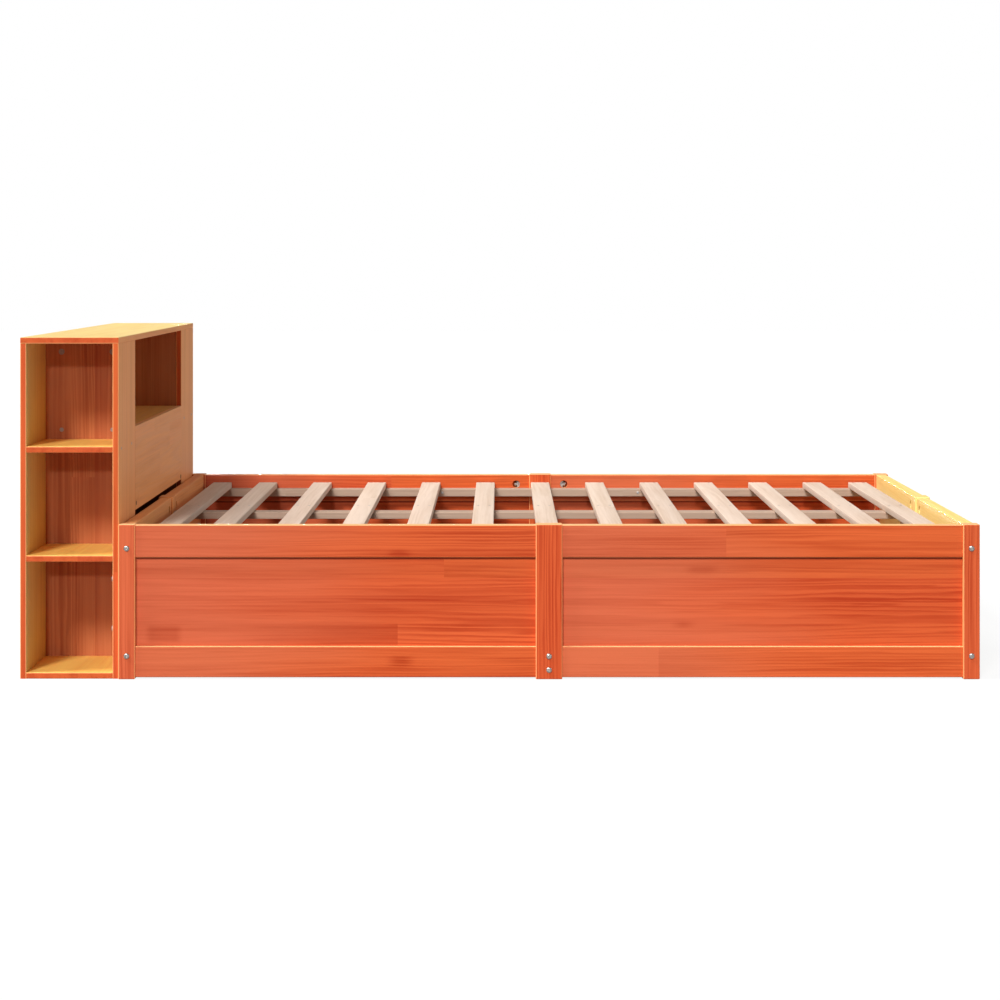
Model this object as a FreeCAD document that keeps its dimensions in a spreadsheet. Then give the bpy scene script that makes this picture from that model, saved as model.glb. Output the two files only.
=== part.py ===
import FreeCAD, Part
import os
import re
from FreeCAD import Placement, Rotation, Vector

# Bookcase headboard bed, in millimetres.
# +X runs from the bookcase to the foot end, -Y is the near side, +Z is up.
# The origin is on the floor, below the middle of the whole bed.
# The far side mirrors the near side, and the head frame mirrors the foot frame.

# Every size that can be set by itself.
SIZES = {
    # Bed frame
    "bed_length": 2075,
    "bed_width": 1475,
    "post_height": 373,
    "post_size": 40,
    "centre_post_width": 64,
    "rail_thick": 30,
    "top_rail_height": 78,
    "bottom_rail_height": 74.5,
    "rail_drop": 2,
    "rail_lift": 4,
    "panel_thick": 12,
    "groove_depth": 8,
    "tenon_shoulder": 10,
    "mortise_wall": 2,
    # Slats and what carries them
    "slat_count": 13,
    "slat_width": 55,
    "slat_thick": 17,
    "slat_end_gap": 1,
    "slat_top_drop": 22,
    "end_slat_gap": 29,
    "end_slat_step": 136,
    "ledger_width": 40,
    "ledger_height": 22,
    "bearer_end_gap": 0.5,
    "beam_width": 60,
    "beam_height": 18,
    "cross_thick": 30,
    "cross_height": 78,
    "support_size": 40,
    "cleat_length": 30,
    "cleat_height": 40,
    # Bookcase
    "case_depth": 238,
    "case_height": 823,
    "case_end_inset": 9,
    "board_thick": 15,
    "bay_depth": 258,
    "lower_shelf_top": 297,
    "upper_shelf_top": 560,
    "nook_floor_top": 591,
    "front_board_bottom": 379,
    # Rounded edges
    "post_edge": 2.5,
    "rail_edge": 2.5,
    "board_edge": 2,
    "slat_edge": 1.5,
    # Fits: play each side of a fitted piece, and room at the bottom of its hole
    "fit_gap": 0.15,
    "seat_gap": 0.3,
    # Frame bolts and their cross-dowel nuts
    "bolt_dia": 6,
    "bolt_play": 0.5,
    "bolt_head_dia": 14,
    "bolt_head_height": 3.5,
    "bolt_crown": 1.5,
    "bolt_hex": 4,
    "bolt_hex_depth": 2,
    "bolt_grip": 45,
    "bolt_tip": 7,
    "bottom_bolt_margin": 22.5,
    "top_bolt_margin": 22,
    "cross_bolt_margin": 22.5,
    "dowel_nut_dia": 10,
    "dowel_nut_length": 16,
    # Tie rods with half-moon washers and nuts
    "rod_dia": 8,
    "rod_drop": 28,
    "rod_tip": 5,
    "access_dia": 22,
    "access_offset": 39,
    "access_depth": 25,
    "washer_seat": 3,
    "washer_length": 17,
    "nut_flats": 13,
    "nut_height": 6.5,
    # Wood screws of the bed
    "screw_dia": 4,
    "screw_head_dia": 8,
    "screw_head_height": 2.4,
    "slat_screw_length": 32,
    "slat_screw_spread": 31,
    "slat_screw_offset": 15,
    "slat_end_screw_inset": 16,
    "bearer_screw_length": 55,
    "beam_screw_offset": 12,
    "ledger_screw_first": 290,
    "ledger_screw_second": 640,
    "ledger_screw_end_inset": 26,
    "cleat_screw_spread": 36,
    # Wood screws of the bookcase
    "case_screw_length": 45,
    "case_screw_inset": 45,
    "nook_screw_head": 11,
    "nook_screw_spread": 300,
    "partition_screw_low": 120,
    "partition_screw_middle": 430,
    "partition_screw_high": 700,
    # Dowels, and cam fittings below the top board
    "dowel_dia": 8,
    "dowel_length": 30,
    "dowel_seat": 10,
    "case_dowel_inset": 60,
    "front_dowel_inset": 50,
    "cam_dia": 15,
    "cam_depth": 12.5,
    "cam_drop": 28.5,
    "cam_pin_dia": 6,
    "cam_pin_rise": 11,
    "nook_fixing_inset": 40,
    # Bolts that tie the bookcase to the head posts
    "link_low": 120,
    "link_high": 240,
    "link_bolt_length": 32,
    "link_sleeve_dia": 10,
    "link_sleeve_length": 16,
}

# Sizes and places that follow from the ones above.
PLACES = {
    # Bed frame: distances are from the middle of the bed, heights from the floor
    "bed_centre": "case_depth / 2",
    "half_length": "bed_length / 2",
    "half_width": "bed_width / 2",
    "side_line": "half_width - post_size / 2",
    "end_line": "half_length - post_size / 2",
    "inner_length": "half_length - post_size",
    "inner_width": "half_width - post_size",
    "centre_half": "centre_post_width / 2",
    "rail_set": "(post_size - rail_thick) / 2",
    "rail_top": "post_height - rail_drop",
    "top_rail_bottom": "rail_top - top_rail_height",
    "bottom_rail_top": "rail_lift + bottom_rail_height",
    "side_half": "inner_length - centre_half",
    "end_half": "inner_width - centre_half",
    "groove_width": "panel_thick + 2 * fit_gap",
    "groove_low": "bottom_rail_top - groove_depth",
    "groove_high": "top_rail_bottom + groove_depth",
    "panel_height": "groove_high - groove_low - seat_gap",
    "bolt_bore": "bolt_dia + 2 * bolt_play",
    "mortise_depth": "(post_size - bolt_bore) / 2 - mortise_wall",
    "tenon_length": "mortise_depth - seat_gap",
    # Slats and what carries them
    "slat_top": "rail_top - slat_top_drop",
    "slat_bottom": "slat_top - slat_thick",
    "slat_half": "inner_width - slat_end_gap",
    "slat_reach": "inner_length + rail_set - end_slat_gap - slat_width / 2",
    "slat_pitch": "2 * (slat_reach - end_slat_step) / (slat_count - 3)",
    "ledger_outer": "inner_width + rail_set",
    "ledger_inner": "ledger_outer - ledger_width",
    "ledger_bottom": "slat_bottom - ledger_height",
    "ledger_middle": "slat_bottom - ledger_height / 2",
    "ledger_length": "inner_length - 2 * bearer_end_gap",
    "beam_half": "inner_length - bearer_end_gap",
    "beam_bottom": "slat_bottom - beam_height",
    "support_height": "beam_bottom - cross_height",
    "cleat_face": "inner_length - cleat_length",
    "cleat_middle": "beam_bottom - cleat_height / 2",
    # Fasteners of the bed
    "rod_high": "rail_top - rod_drop",
    "rod_low": "rail_lift + bottom_rail_height / 2",
    "access_line": "centre_half + access_offset",
    "rod_half": "access_line + rod_tip",
    "bolt_length": "post_size + bolt_grip + bolt_tip",
    "corner_bolt_low": "bottom_rail_top - bottom_bolt_margin",
    "corner_bolt_high": "top_rail_bottom + top_bolt_margin",
    "cross_high": "cross_height - cross_bolt_margin",
    "slat_screw_line": "slat_half - slat_end_screw_inset",
    "ledger_screw_last": "inner_length - ledger_screw_end_inset",
    "beam_screw_line": "inner_length - cleat_length / 2",
    # Bookcase
    "case_front": "bed_centre - half_length",
    "case_inner_front": "case_front - board_thick",
    "case_back": "case_front - case_depth",
    "case_inner_back": "case_back + board_thick",
    "case_half": "half_width - case_end_inset",
    "partition_outer": "case_half - bay_depth",
    "nook_half": "partition_outer - board_thick",
    "partition_middle": "partition_outer - board_thick / 2",
    "front_middle": "case_front - board_thick / 2",
    "back_middle": "case_back + board_thick / 2",
    "inner_depth": "case_depth - 2 * board_thick",
    "top_underside": "case_height - board_thick",
    "nook_floor_middle": "nook_floor_top - board_thick / 2",
    "cam_level": "top_underside - cam_drop",
    "outer_screw_line": "case_half - case_screw_inset",
    "inner_screw_line": "partition_outer + case_screw_inset",
    "outer_dowel_line": "case_half - case_dowel_inset",
    "inner_dowel_line": "partition_outer + case_dowel_inset",
    "front_dowel_low": "front_board_bottom + front_dowel_inset",
    "front_dowel_high": "nook_floor_top - front_dowel_inset",
}


def formula(text):
    """Spells out which sheet each named value in a formula lives in."""
    def owner(word):
        name = word.group(0)
        if name in SIZES:
            return f"Sizes.{name}"
        return f"Places.{name}" if name in PLACES else name
    return re.sub(r"[a-z][a-z_]*", owner, str(text))


def write_sheet(name, cells):
    """Writes a sheet of named cells, one value or formula in each row."""
    page = doc.addObject("Spreadsheet::Sheet", name)
    for row, (alias, content) in enumerate(cells.items(), 1):
        page.set(f"A{row}", "'" + alias)
        page.set(f"B{row}", content)
        page.setAlias(f"B{row}", alias)
    return page


doc = FreeCAD.newDocument("BookcaseBed")
sizes = write_sheet("Sizes", {name: str(value) for name, value in SIZES.items()})
write_sheet("Places", {name: "=" + formula(text) for name, text in PLACES.items()})
doc.recompute()

# Turns that point an axis, which starts along +Z, another way. +Y stays level.
LEAN = Rotation(Vector(0, 1, 0), 90)
TURNS = {
    "+x": LEAN,
    "-x": Rotation(Vector(0, 0, 1), 180) * LEAN,
    "+y": Rotation(Vector(0, 0, 1), 90) * LEAN,
    "-y": Rotation(Vector(0, 0, 1), -90) * LEAN,
    "+z": Rotation(),
    "-z": Rotation(Vector(1, 0, 0), 180),
}


def bar_edges():
    """Names of a bar's edges, listed by the axis that they run along."""
    names = {way: [] for way in "xyz"}
    for number, edge in enumerate(Part.makeBox(1, 1, 1).Edges, 1):
        along = edge.tangentAt(edge.FirstParameter)
        for way in names:
            if abs(getattr(along, way)) > 0.5:
                names[way].append(f"Edge{number}")
    return names


BAR_EDGES = bar_edges()
kept = []


# ---------------------------------------------------------------- how pieces are made

def bind(thing, **formulas):
    """Binds properties of an object to formulas of named values."""
    for name, text in formulas.items():
        thing.setExpression(name, formula(text))
    return thing


def put(thing, at, way="+z"):
    """Places an object at three formulas, with its +Z turned to point the given way."""
    thing.Placement = Placement(Vector(), TURNS[way])
    for axis, text in zip("xyz", at):
        thing.setExpression(f"Placement.Base.{axis}", formula(text))
    return thing


def keep(thing):
    """Marks an object as a finished sub-part, to be written under its label."""
    kept.append(thing)
    return thing


def solid(kind, name, at=(0, 0, 0), way="+z", **formulas):
    """A plain box, cylinder, cone or prism with bound sizes."""
    return put(bind(doc.addObject(f"Part::{kind}", name), **formulas), at, way)


def joined(kind, name, shapes):
    """Several shapes, fused (MultiFuse) or only grouped (Compound)."""
    result = doc.addObject(f"Part::{kind}", name)
    result.Label = name
    setattr(result, "Links" if kind == "Compound" else "Shapes", shapes)
    return result


def less(name, base, tool):
    """One shape with another cut away."""
    result = doc.addObject("Part::Cut", name)
    result.Label = name
    result.Base = base
    result.Tool = tool
    return result


def mirrored(name, source, way):
    """The mirror image across the middle of the bed, along x or y."""
    image = doc.addObject("Part::Mirroring", name)
    image.Label = name
    image.Source = source
    image.Normal = Vector(way == "x", way == "y", 0)
    if way == "x":
        image.setExpression("Base.x", formula("bed_centre"))
    return image


def copies(name, source, spots):
    """Copies of one shape at spots of (x, y, z, way), grouped."""
    members = []
    for number, (x, y, z, way) in enumerate(spots):
        member = doc.addObject("App::Link", f"{name}_{number}")
        member.LinkedObject = source
        members.append(put(member, (x, y, z), way))
    return joined("Compound", name, members)


class Fastener:
    """A fastener modelled along +Z from its head, with the drill that makes its hole."""

    def __init__(self, name, solids, drill):
        self.name = name
        self.solid = solids[0] if len(solids) == 1 else joined("Compound", name, solids)
        self.drill = drill

    def set_at(self, name, spots):
        """The fasteners themselves, at their spots."""
        return copies(name, self.solid, spots)

    def holes(self, name, spots):
        """The drills for the holes at some spots."""
        return copies(f"{name}_{self.name}_holes", self.drill, spots)


class Piece:
    """One wooden piece: a bar with rounded edges, then tenons, grooves and mortises."""

    def __init__(self, label, at, size):
        self.label = label
        self.body = doc.addObject("PartDesign::Body", f"{label}_wood")
        self.bar("blank", at, size)

    def feature(self, kind, name):
        """Adds the next feature to the body."""
        result = self.body.newObject(f"PartDesign::{kind}", f"{self.label}_{name}")
        result.Refine = False
        return result

    def bar(self, name, at, size, kind="AdditiveBox"):
        """Adds a bar from its lower corner, by its sizes along X, Y and Z."""
        length, width, height = size
        put(bind(self.feature(kind, name), Length=length, Width=width, Height=height), at)
        return self

    def groove(self, name, at, size):
        """Cuts a bar-shaped groove or mortise."""
        return self.bar(name, at, size, "SubtractiveBox")

    def ease(self, radius, ways):
        """Rounds the blank's edges that run along the given axes."""
        blank = self.body.Tip
        fillet = self.feature("Fillet", "ease")
        fillet.Base = (blank, [name for way in ways for name in BAR_EDGES[way]])
        bind(fillet, Radius=radius)
        return self

    def drilled(self, *holes):
        """The finished piece, with holes given as (fastener, spots) pairs."""
        drills = [fastener.holes(self.label, spots) for fastener, spots in holes]
        tool = drills[0] if len(drills) == 1 else joined("Compound", f"{self.label}_holes", drills)
        return less(self.label, self.body, tool)

    def whole(self):
        """The finished piece where it has no holes."""
        self.body.Label = self.label
        return self.body


def halves(name, half, way):
    """A pair of like pieces, one each side of a centre post, as one sub-part."""
    return keep(joined("Compound", name, [half, mirrored(f"{name}_other", half, way)]))


def opposite(piece, here, there, way):
    """The like piece across the bed, as a sub-part of its own."""
    return keep(mirrored(piece.Label.replace(here, there), piece, way))


# ---------------------------------------------------------------- fasteners and their drills

def screw(name, length, head="screw_head_dia"):
    """A countersunk wood screw and its drill."""
    def shape(title, play, room):
        sink = solid("Cone", f"{title}_head", Radius1=f"{head} / 2 + {play}",
                     Radius2=f"screw_dia / 2 + {play}", Height="screw_head_height")
        shank = solid("Cylinder", f"{title}_shank", Radius=f"screw_dia / 2 + {play}",
                      Height=f"{length} + {room}")
        return joined("MultiFuse", title, [sink, shank])
    drill = shape(f"{name}_drill", "fit_gap", "seat_gap")
    return Fastener(name, [shape(f"{name}_solid", "0", "0")], drill)


def socket_bolt(name, length):
    """A bolt with a low round head, a hexagon socket and a shank along +Z from its head."""
    crown = solid("Cone", f"{name}_crown", (0, 0, "-bolt_head_height"), Height="bolt_crown",
                  Radius1="bolt_head_dia / 2 - bolt_crown", Radius2="bolt_head_dia / 2")
    head = solid("Cylinder", f"{name}_head", (0, 0, "bolt_crown - bolt_head_height"),
                 Radius="bolt_head_dia / 2", Height="bolt_head_height - bolt_crown")
    shank = solid("Cylinder", f"{name}_shank", Radius="bolt_dia / 2", Height=length)
    blank = joined("MultiFuse", f"{name}_blank", [crown, head, shank])
    socket = solid("Prism", f"{name}_socket", (0, 0, "-bolt_head_height"), Polygon="6",
                   Circumradius="bolt_hex / sqrt(3)", Height="bolt_hex_depth")
    return less(name, blank, socket)


def threaded(name, body, radius, start, length):
    """A nut or sleeve with its threaded hole cut along +Z."""
    thread = solid("Cylinder", f"{name}_thread", (0, 0, start), Radius=f"{radius} + fit_gap", Height=length)
    return less(name, body, thread)


def frame_bolt():
    """A frame bolt with its cross-dowel nut, which lies along +Y and is put in from that side."""
    line = "post_size + bolt_grip"
    rod = solid("Cylinder", "dowel_nut_rod", (0, "-dowel_nut_length / 2", line), "+y",
                Radius="dowel_nut_dia / 2", Height="dowel_nut_length")
    nut = threaded("dowel_nut", rod, "bolt_dia / 2", f"{line} - dowel_nut_dia / 2", "dowel_nut_dia")
    bore = solid("Cylinder", "frame_bolt_bore", Radius="bolt_bore / 2", Height="bolt_length + seat_gap")
    pocket = solid("Cylinder", "dowel_nut_bore", (0, "-dowel_nut_length / 2", line), "+y",
                   Radius="dowel_nut_dia / 2 + fit_gap", Height="dowel_nut_length / 2 + rail_thick / 2")
    drill = joined("MultiFuse", "frame_bolt_drill", [bore, pocket])
    return Fastener("frame_bolt_set", [socket_bolt("frame_bolt", "bolt_length"), nut], drill)


def tie_rod():
    """A tie rod, centred on +Z, with a washer and a nut in an access hole at each end."""
    parts = [solid("Cylinder", "rod", (0, 0, "-rod_half"), Radius="rod_dia / 2", Height="2 * rod_half")]
    cuts = [solid("Cylinder", "rod_bore", (0, 0, "-access_line"), Radius="rod_dia / 2 + bolt_play",
                  Height="2 * access_line")]
    for end, sign in (("low", -1), ("high", 1)):
        line = f"({sign}) * access_line"
        seat = f"({sign}) * (access_line - washer_seat)"
        disc = solid("Cylinder", f"washer_disc_{end}", (0, "-washer_length / 2", line), "+y",
                     Radius="access_dia / 2 - fit_gap", Height="washer_length")
        room = solid("Box", f"washer_room_{end}",
                     ("-access_dia / 2", "-washer_length", seat if sign > 0 else f"{seat} - access_dia"),
                     Length="access_dia", Width="2 * washer_length", Height="access_dia")
        moon = less(f"washer_moon_{end}", disc, room)
        parts.append(threaded(f"washer_{end}", moon, "rod_dia / 2", "-rod_half", "2 * rod_half"))
        hexagon = solid("Prism", f"nut_hexagon_{end}", (0, 0, seat if sign > 0 else f"{seat} - nut_height"),
                        Polygon="6", Circumradius="nut_flats / sqrt(3)", Height="nut_height")
        parts.append(threaded(f"nut_{end}", hexagon, "rod_dia / 2", "-rod_half", "2 * rod_half"))
        cuts.append(solid("Cylinder", f"access_{end}", (0, "rail_thick / 2 - access_depth", line), "+y",
                          Radius="access_dia / 2", Height="access_depth"))
    return Fastener("tie_rod_set", parts, joined("MultiFuse", "tie_rod_drill", cuts))


def wood_dowel():
    """A dowel in a hole that is a little longer at both ends."""
    pin = solid("Cylinder", "dowel_pin", (0, 0, "seat_gap"), Radius="dowel_dia / 2",
                Height="dowel_length - 2 * seat_gap")
    drill = solid("Cylinder", "dowel_drill", Radius="dowel_dia / 2 + fit_gap", Height="dowel_length")
    return Fastener("dowel", [pin], drill)


def cam_fitting():
    """A cam let into a face, with its pin running to -X out of the board's edge."""
    axis = "board_thick / 2"
    disc = solid("Cylinder", "cam_disc", Radius="cam_dia / 2", Height="cam_depth")
    slot = solid("Cylinder", "cam_slot", (0, 0, axis), "-x", Radius="cam_pin_dia / 2 + fit_gap",
                 Height="cam_dia")
    pin = solid("Cylinder", "cam_pin", ("-seat_gap", 0, axis), "-x", Radius="cam_pin_dia / 2",
                Height="cam_drop + cam_pin_rise - 2 * seat_gap")
    bore = solid("Cylinder", "cam_bore", Radius="cam_dia / 2 + fit_gap", Height="cam_depth")
    pin_bore = solid("Cylinder", "cam_pin_bore", (0, 0, axis), "-x", Radius="cam_pin_dia / 2 + fit_gap",
                     Height="cam_drop + cam_pin_rise")
    drill = joined("MultiFuse", "cam_drill", [bore, pin_bore])
    return Fastener("cam", [less("cam", disc, slot), pin], drill)


def link_bolt():
    """A bolt through a 15 mm board into a threaded sleeve in the post behind it."""
    body = solid("Cylinder", "sleeve_body", (0, 0, "board_thick"), Radius="link_sleeve_dia / 2",
                 Height="link_sleeve_length")
    sleeve = threaded("sleeve", body, "bolt_dia / 2", "board_thick", "link_sleeve_length")
    bore = solid("Cylinder", "link_bore", Radius="bolt_bore / 2", Height="link_bolt_length + seat_gap")
    pocket = solid("Cylinder", "sleeve_bore", (0, 0, "board_thick"), Radius="link_sleeve_dia / 2 + fit_gap",
                   Height="link_sleeve_length")
    drill = joined("MultiFuse", "link_drill", [bore, pocket])
    return Fastener("link_set", [socket_bolt("link_bolt", "link_bolt_length"), sleeve], drill)


FRAME_BOLT = frame_bolt()
TIE_ROD = tie_rod()
SLAT_SCREW = screw("slat_screw", "slat_screw_length")
BEARER_SCREW = screw("bearer_screw", "bearer_screw_length")
CASE_SCREW = screw("case_screw", "case_screw_length")
NOOK_SCREW = screw("nook_screw", "case_screw_length", head="nook_screw_head")
DOWEL = wood_dowel()
CAM = cam_fitting()
LINK_BOLT = link_bolt()


# ---------------------------------------------------------------- where the fasteners go

def slat_places():
    """Distances of the slats from the bed's middle: even steps, and a shorter one at each end."""
    inner = (int(sizes.slat_count) - 3) // 2
    steps = [f"({step}) * slat_pitch" for step in range(-inner, inner + 1)]
    return ["-slat_reach", *steps, "slat_reach"]


def screw_pair(middle, across):
    """The spots of a pair of slat screws on one line across the bed."""
    return [(f"{middle} + ({sign}) * slat_screw_spread / 2", across, "slat_top", "-z") for sign in (-1, 1)]


def corner_bolts(sign):
    """Bolts of a near corner post, at the foot (sign 1) or the head (sign -1)."""
    along = f"bed_centre + ({sign}) * end_line"
    return [(along, "-half_width", level, "+y") for level in ("corner_bolt_low", "corner_bolt_high")]


SLAT_PLACES = slat_places()
MIDDLES = [f"bed_centre + {place}" for place in SLAT_PLACES]
BEAM_LINE, NEAR_LINE, FAR_LINE = "-slat_screw_offset", "-slat_screw_line", "slat_screw_line"
ROD_LEVELS = ("rod_low", "rod_high")
CASE_LEVELS = {"bottom": "board_thick", "lower": "lower_shelf_top", "upper": "upper_shelf_top"}
NOOK_SPOTS = ("case_inner_back + nook_fixing_inset", "case_inner_front - nook_fixing_inset")
SPREAD = ("-nook_screw_spread", "0", "nook_screw_spread")
PARTITION_LEVELS = ("partition_screw_low", "partition_screw_middle", "partition_screw_high")

cross_bolts = [("bed_centre", "-half_width", level, "+y") for level in ("cross_bolt_margin", "cross_high")]
cross_bolts_far = [(x, "half_width", z, "-y") for x, _, z, _ in cross_bolts]
side_rods = [("bed_centre", "-side_line", level, "+x") for level in ROD_LEVELS]
foot_rods = [("bed_centre + end_line", 0, level, "+y") for level in ROD_LEVELS]
ledger_screws = [(f"bed_centre + {along}", "-ledger_inner", "ledger_middle", "-y")
                 for along in ("ledger_screw_first", "ledger_screw_second", "ledger_screw_last")]
cleat_screws = [("bed_centre + cleat_face", f"({sign}) * cleat_screw_spread / 2", "cleat_middle", "+x")
                for sign in (-1, 1)]
foot_beam_screw = ("bed_centre + beam_screw_line", "beam_screw_offset", "slat_bottom", "-z")
middle_beam_screw = ("bed_centre", "beam_screw_offset", "slat_bottom", "-z")
head_beam_screw = ("bed_centre - beam_screw_line", "beam_screw_offset", "slat_bottom", "-z")
support_dowel = ("bed_centre", 0, "cross_height - dowel_length / 2", "+z")

shelf_screws = {}
for name, top in CASE_LEVELS.items():
    shelf_screws[name] = [(face, f"-{line}", f"{top} - board_thick / 2", way)
                          for line in ("outer_screw_line", "inner_screw_line")
                          for face, way in (("case_front", "-x"), ("case_back", "+x"))]
all_shelf_screws = [spot for spots in shelf_screws.values() for spot in spots]
partition_screws = [("case_back", "-partition_middle", level, "+x") for level in PARTITION_LEVELS]
floor_screws = [("case_back", across, "nook_floor_middle", "+x") for across in SPREAD]
nook_screws = [(along, "-partition_outer", "nook_floor_middle", "+y") for along in NOOK_SPOTS]
cams = [(along, "-partition_outer", "cam_level", "+y") for along in NOOK_SPOTS]
front_dowels = [("front_middle", "-nook_half - dowel_length / 2", level, "+y")
                for level in ("front_dowel_low", "front_dowel_high")]
partition_dowels = [("case_inner_front + dowel_seat", "-partition_middle", level, "-x")
                    for level in PARTITION_LEVELS]
stile_dowels = [("front_middle", f"-{line}", "top_underside + dowel_seat", "-z")
                for line in ("outer_dowel_line", "inner_dowel_line")]
back_dowels = [("back_middle", across, "top_underside + dowel_seat", "-z") for across in SPREAD]
link_bolts = [("case_inner_front", "-side_line", level, "+x") for level in ("link_low", "link_high")]


def across_bed(spots):
    """The spots on the far side that mirror some near ones."""
    turned = {"+y": "-y", "-y": "+y"}
    return [(x, f"-({y})", z, turned.get(way, way)) for x, y, z, way in spots]


# ---------------------------------------------------------------- side, head and foot frames

# Each rail's lower edge and height, and the lower edge of its groove.
RAILS = {
    "bottom": ("rail_lift", "bottom_rail_height", "groove_low"),
    "top": ("top_rail_bottom", "top_rail_height", "top_rail_bottom"),
}
GROOVE_RUN = "groove_high - groove_low"


def corner_post(label, sign, *holes):
    """Near corner post of the foot (sign 1) or the head (sign -1)."""
    middle = f"bed_centre + ({sign}) * end_line"
    post = Piece(label, (f"{middle} - post_size / 2", "-half_width", 0),
                 ("post_size", "post_size", "post_height"))
    post.ease("post_edge", "xyz")

    def inner_start(depth):
        """Where a cut of some depth starts in the face towards the bed's middle."""
        return f"{middle} - post_size / 2" if sign > 0 else f"{middle} + post_size / 2 - {depth}"

    line = "-side_line - groove_width / 2"
    for level, (bottom, height, _) in RAILS.items():
        post.groove(f"{level}_mortise", (inner_start("mortise_depth"), line, f"{bottom} + tenon_shoulder"),
                    ("mortise_depth", "groove_width", f"{height} - 2 * tenon_shoulder"))
    post.groove("side_groove", (inner_start("groove_depth"), line, "groove_low"),
                ("groove_depth", "groove_width", GROOVE_RUN))
    post.groove("end_groove", (f"{middle} - groove_width / 2", "-inner_width - groove_depth", "groove_low"),
                ("groove_width", "groove_depth", GROOVE_RUN))
    return keep(post.drilled(*holes))


def side_centre_post():
    """Centre post of the near side frame."""
    post = Piece("near_centre_post", ("bed_centre - centre_half", "-half_width", 0),
                 ("centre_post_width", "post_size", "post_height"))
    post.ease("post_edge", "xyz")
    for side, start in (("head", "-centre_half"), ("foot", "centre_half - groove_depth")):
        post.groove(f"{side}_groove", (f"bed_centre + {start}", "-side_line - groove_width / 2", "groove_low"),
                    ("groove_depth", "groove_width", GROOVE_RUN))
    return keep(post.drilled((TIE_ROD, side_rods), (FRAME_BOLT, cross_bolts)))


def foot_post():
    """Centre post of the foot frame."""
    post = Piece("foot_centre_post", ("bed_centre + inner_length", "-centre_half", 0),
                 ("post_size", "centre_post_width", "post_height"))
    post.ease("post_edge", "xyz")
    for side, start in (("near", "-centre_half"), ("far", "centre_half - groove_depth")):
        post.groove(f"{side}_groove", ("bed_centre + end_line - groove_width / 2", start, "groove_low"),
                    ("groove_width", "groove_depth", GROOVE_RUN))
    return keep(post.drilled((TIE_ROD, foot_rods), (BEARER_SCREW, cleat_screws)))


def side_rail(level, *holes):
    """Foot half of a near side rail, tenoned into the corner post."""
    bottom, height, groove_start = RAILS[level]
    shoulder = "(tenon_shoulder + fit_gap)"
    rail = Piece(f"side_{level}_rail", ("bed_centre + centre_half", "-side_line - rail_thick / 2", bottom),
                 ("side_half", "rail_thick", height))
    rail.ease("rail_edge", "x")
    rail.bar("tenon", ("bed_centre + inner_length", "-side_line - panel_thick / 2", f"{bottom} + {shoulder}"),
             ("tenon_length", "panel_thick", f"{height} - 2 * {shoulder}"))
    rail.groove("groove", ("bed_centre + centre_half", "-side_line - groove_width / 2", groove_start),
                ("side_half", "groove_width", "groove_depth"))
    return rail.drilled((TIE_ROD, side_rods), *holes)


def foot_rail(level):
    """Near half of a foot rail, bolted to the corner post."""
    bottom, height, groove_start = RAILS[level]
    rail = Piece(f"foot_{level}_rail", ("bed_centre + end_line - rail_thick / 2", "-inner_width", bottom),
                 ("rail_thick", "end_half", height))
    rail.ease("rail_edge", "y")
    rail.groove("groove", ("bed_centre + end_line - groove_width / 2", "-inner_width", groove_start),
                ("groove_width", "end_half", "groove_depth"))
    return rail.drilled((TIE_ROD, foot_rods), (FRAME_BOLT, corner_bolts(1)))


def panel_run(half):
    """Length of a panel, which is let into the posts at both ends."""
    return f"{half} + 2 * (groove_depth - seat_gap)"


def side_panel():
    """Foot half panel of the near side frame."""
    start = "bed_centre + centre_half - groove_depth + seat_gap"
    return Piece("side_panel", (start, "-side_line - panel_thick / 2", "groove_low"),
                 (panel_run("side_half"), "panel_thick", "panel_height")).whole()


def foot_panel():
    """Near half panel of the foot frame."""
    start = "-inner_width - groove_depth + seat_gap"
    return Piece("foot_panel", ("bed_centre + end_line - panel_thick / 2", start, "groove_low"),
                 ("panel_thick", panel_run("end_half"), "panel_height")).whole()


side_pieces = [
    corner_post("near_foot_post", 1, (FRAME_BOLT, corner_bolts(1))),
    corner_post("near_head_post", -1, (FRAME_BOLT, corner_bolts(-1)), (LINK_BOLT, link_bolts)),
    side_centre_post(),
    halves("near_top_rails", side_rail("top", (BEARER_SCREW, ledger_screws)), "x"),
    halves("near_bottom_rails", side_rail("bottom"), "x"),
    halves("near_panels", side_panel(), "x"),
]
for piece in side_pieces:
    opposite(piece, "near", "far", "y")

foot_pieces = [
    foot_post(),
    halves("foot_top_rails", foot_rail("top"), "y"),
    halves("foot_bottom_rails", foot_rail("bottom"), "y"),
    halves("foot_panels", foot_panel(), "y"),
]
for piece in foot_pieces:
    opposite(piece, "foot", "head", "x")


# ---------------------------------------------------------------- slats and their bearers

def slat_board():
    """One slat, centred on x = 0, with a pair of screw holes over the beam and each ledger."""
    board = Piece("slat_board", ("-slat_width / 2", "-slat_half", "slat_bottom"),
                  ("slat_width", "2 * slat_half", "slat_thick"))
    board.ease("slat_edge", "xy")
    spots = [spot for line in (BEAM_LINE, NEAR_LINE, FAR_LINE) for spot in screw_pair("0", line)]
    return board.drilled((SLAT_SCREW, spots))


def ledger():
    """Foot half of the near ledger, notched where it crosses the centre post."""
    bar = Piece("ledger", ("bed_centre + bearer_end_gap", "-ledger_outer", "ledger_bottom"),
                ("ledger_length", "ledger_width", "ledger_height"))
    bar.ease("slat_edge", "x")
    bar.groove("notch", ("bed_centre", "-ledger_outer", "ledger_bottom"),
               ("centre_half + seat_gap", "rail_set + fit_gap", "ledger_height"))
    above = [spot for middle in MIDDLES[len(MIDDLES) // 2:] for spot in screw_pair(middle, NEAR_LINE)]
    return bar.drilled((SLAT_SCREW, above[1:]), (BEARER_SCREW, ledger_screws))


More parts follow.
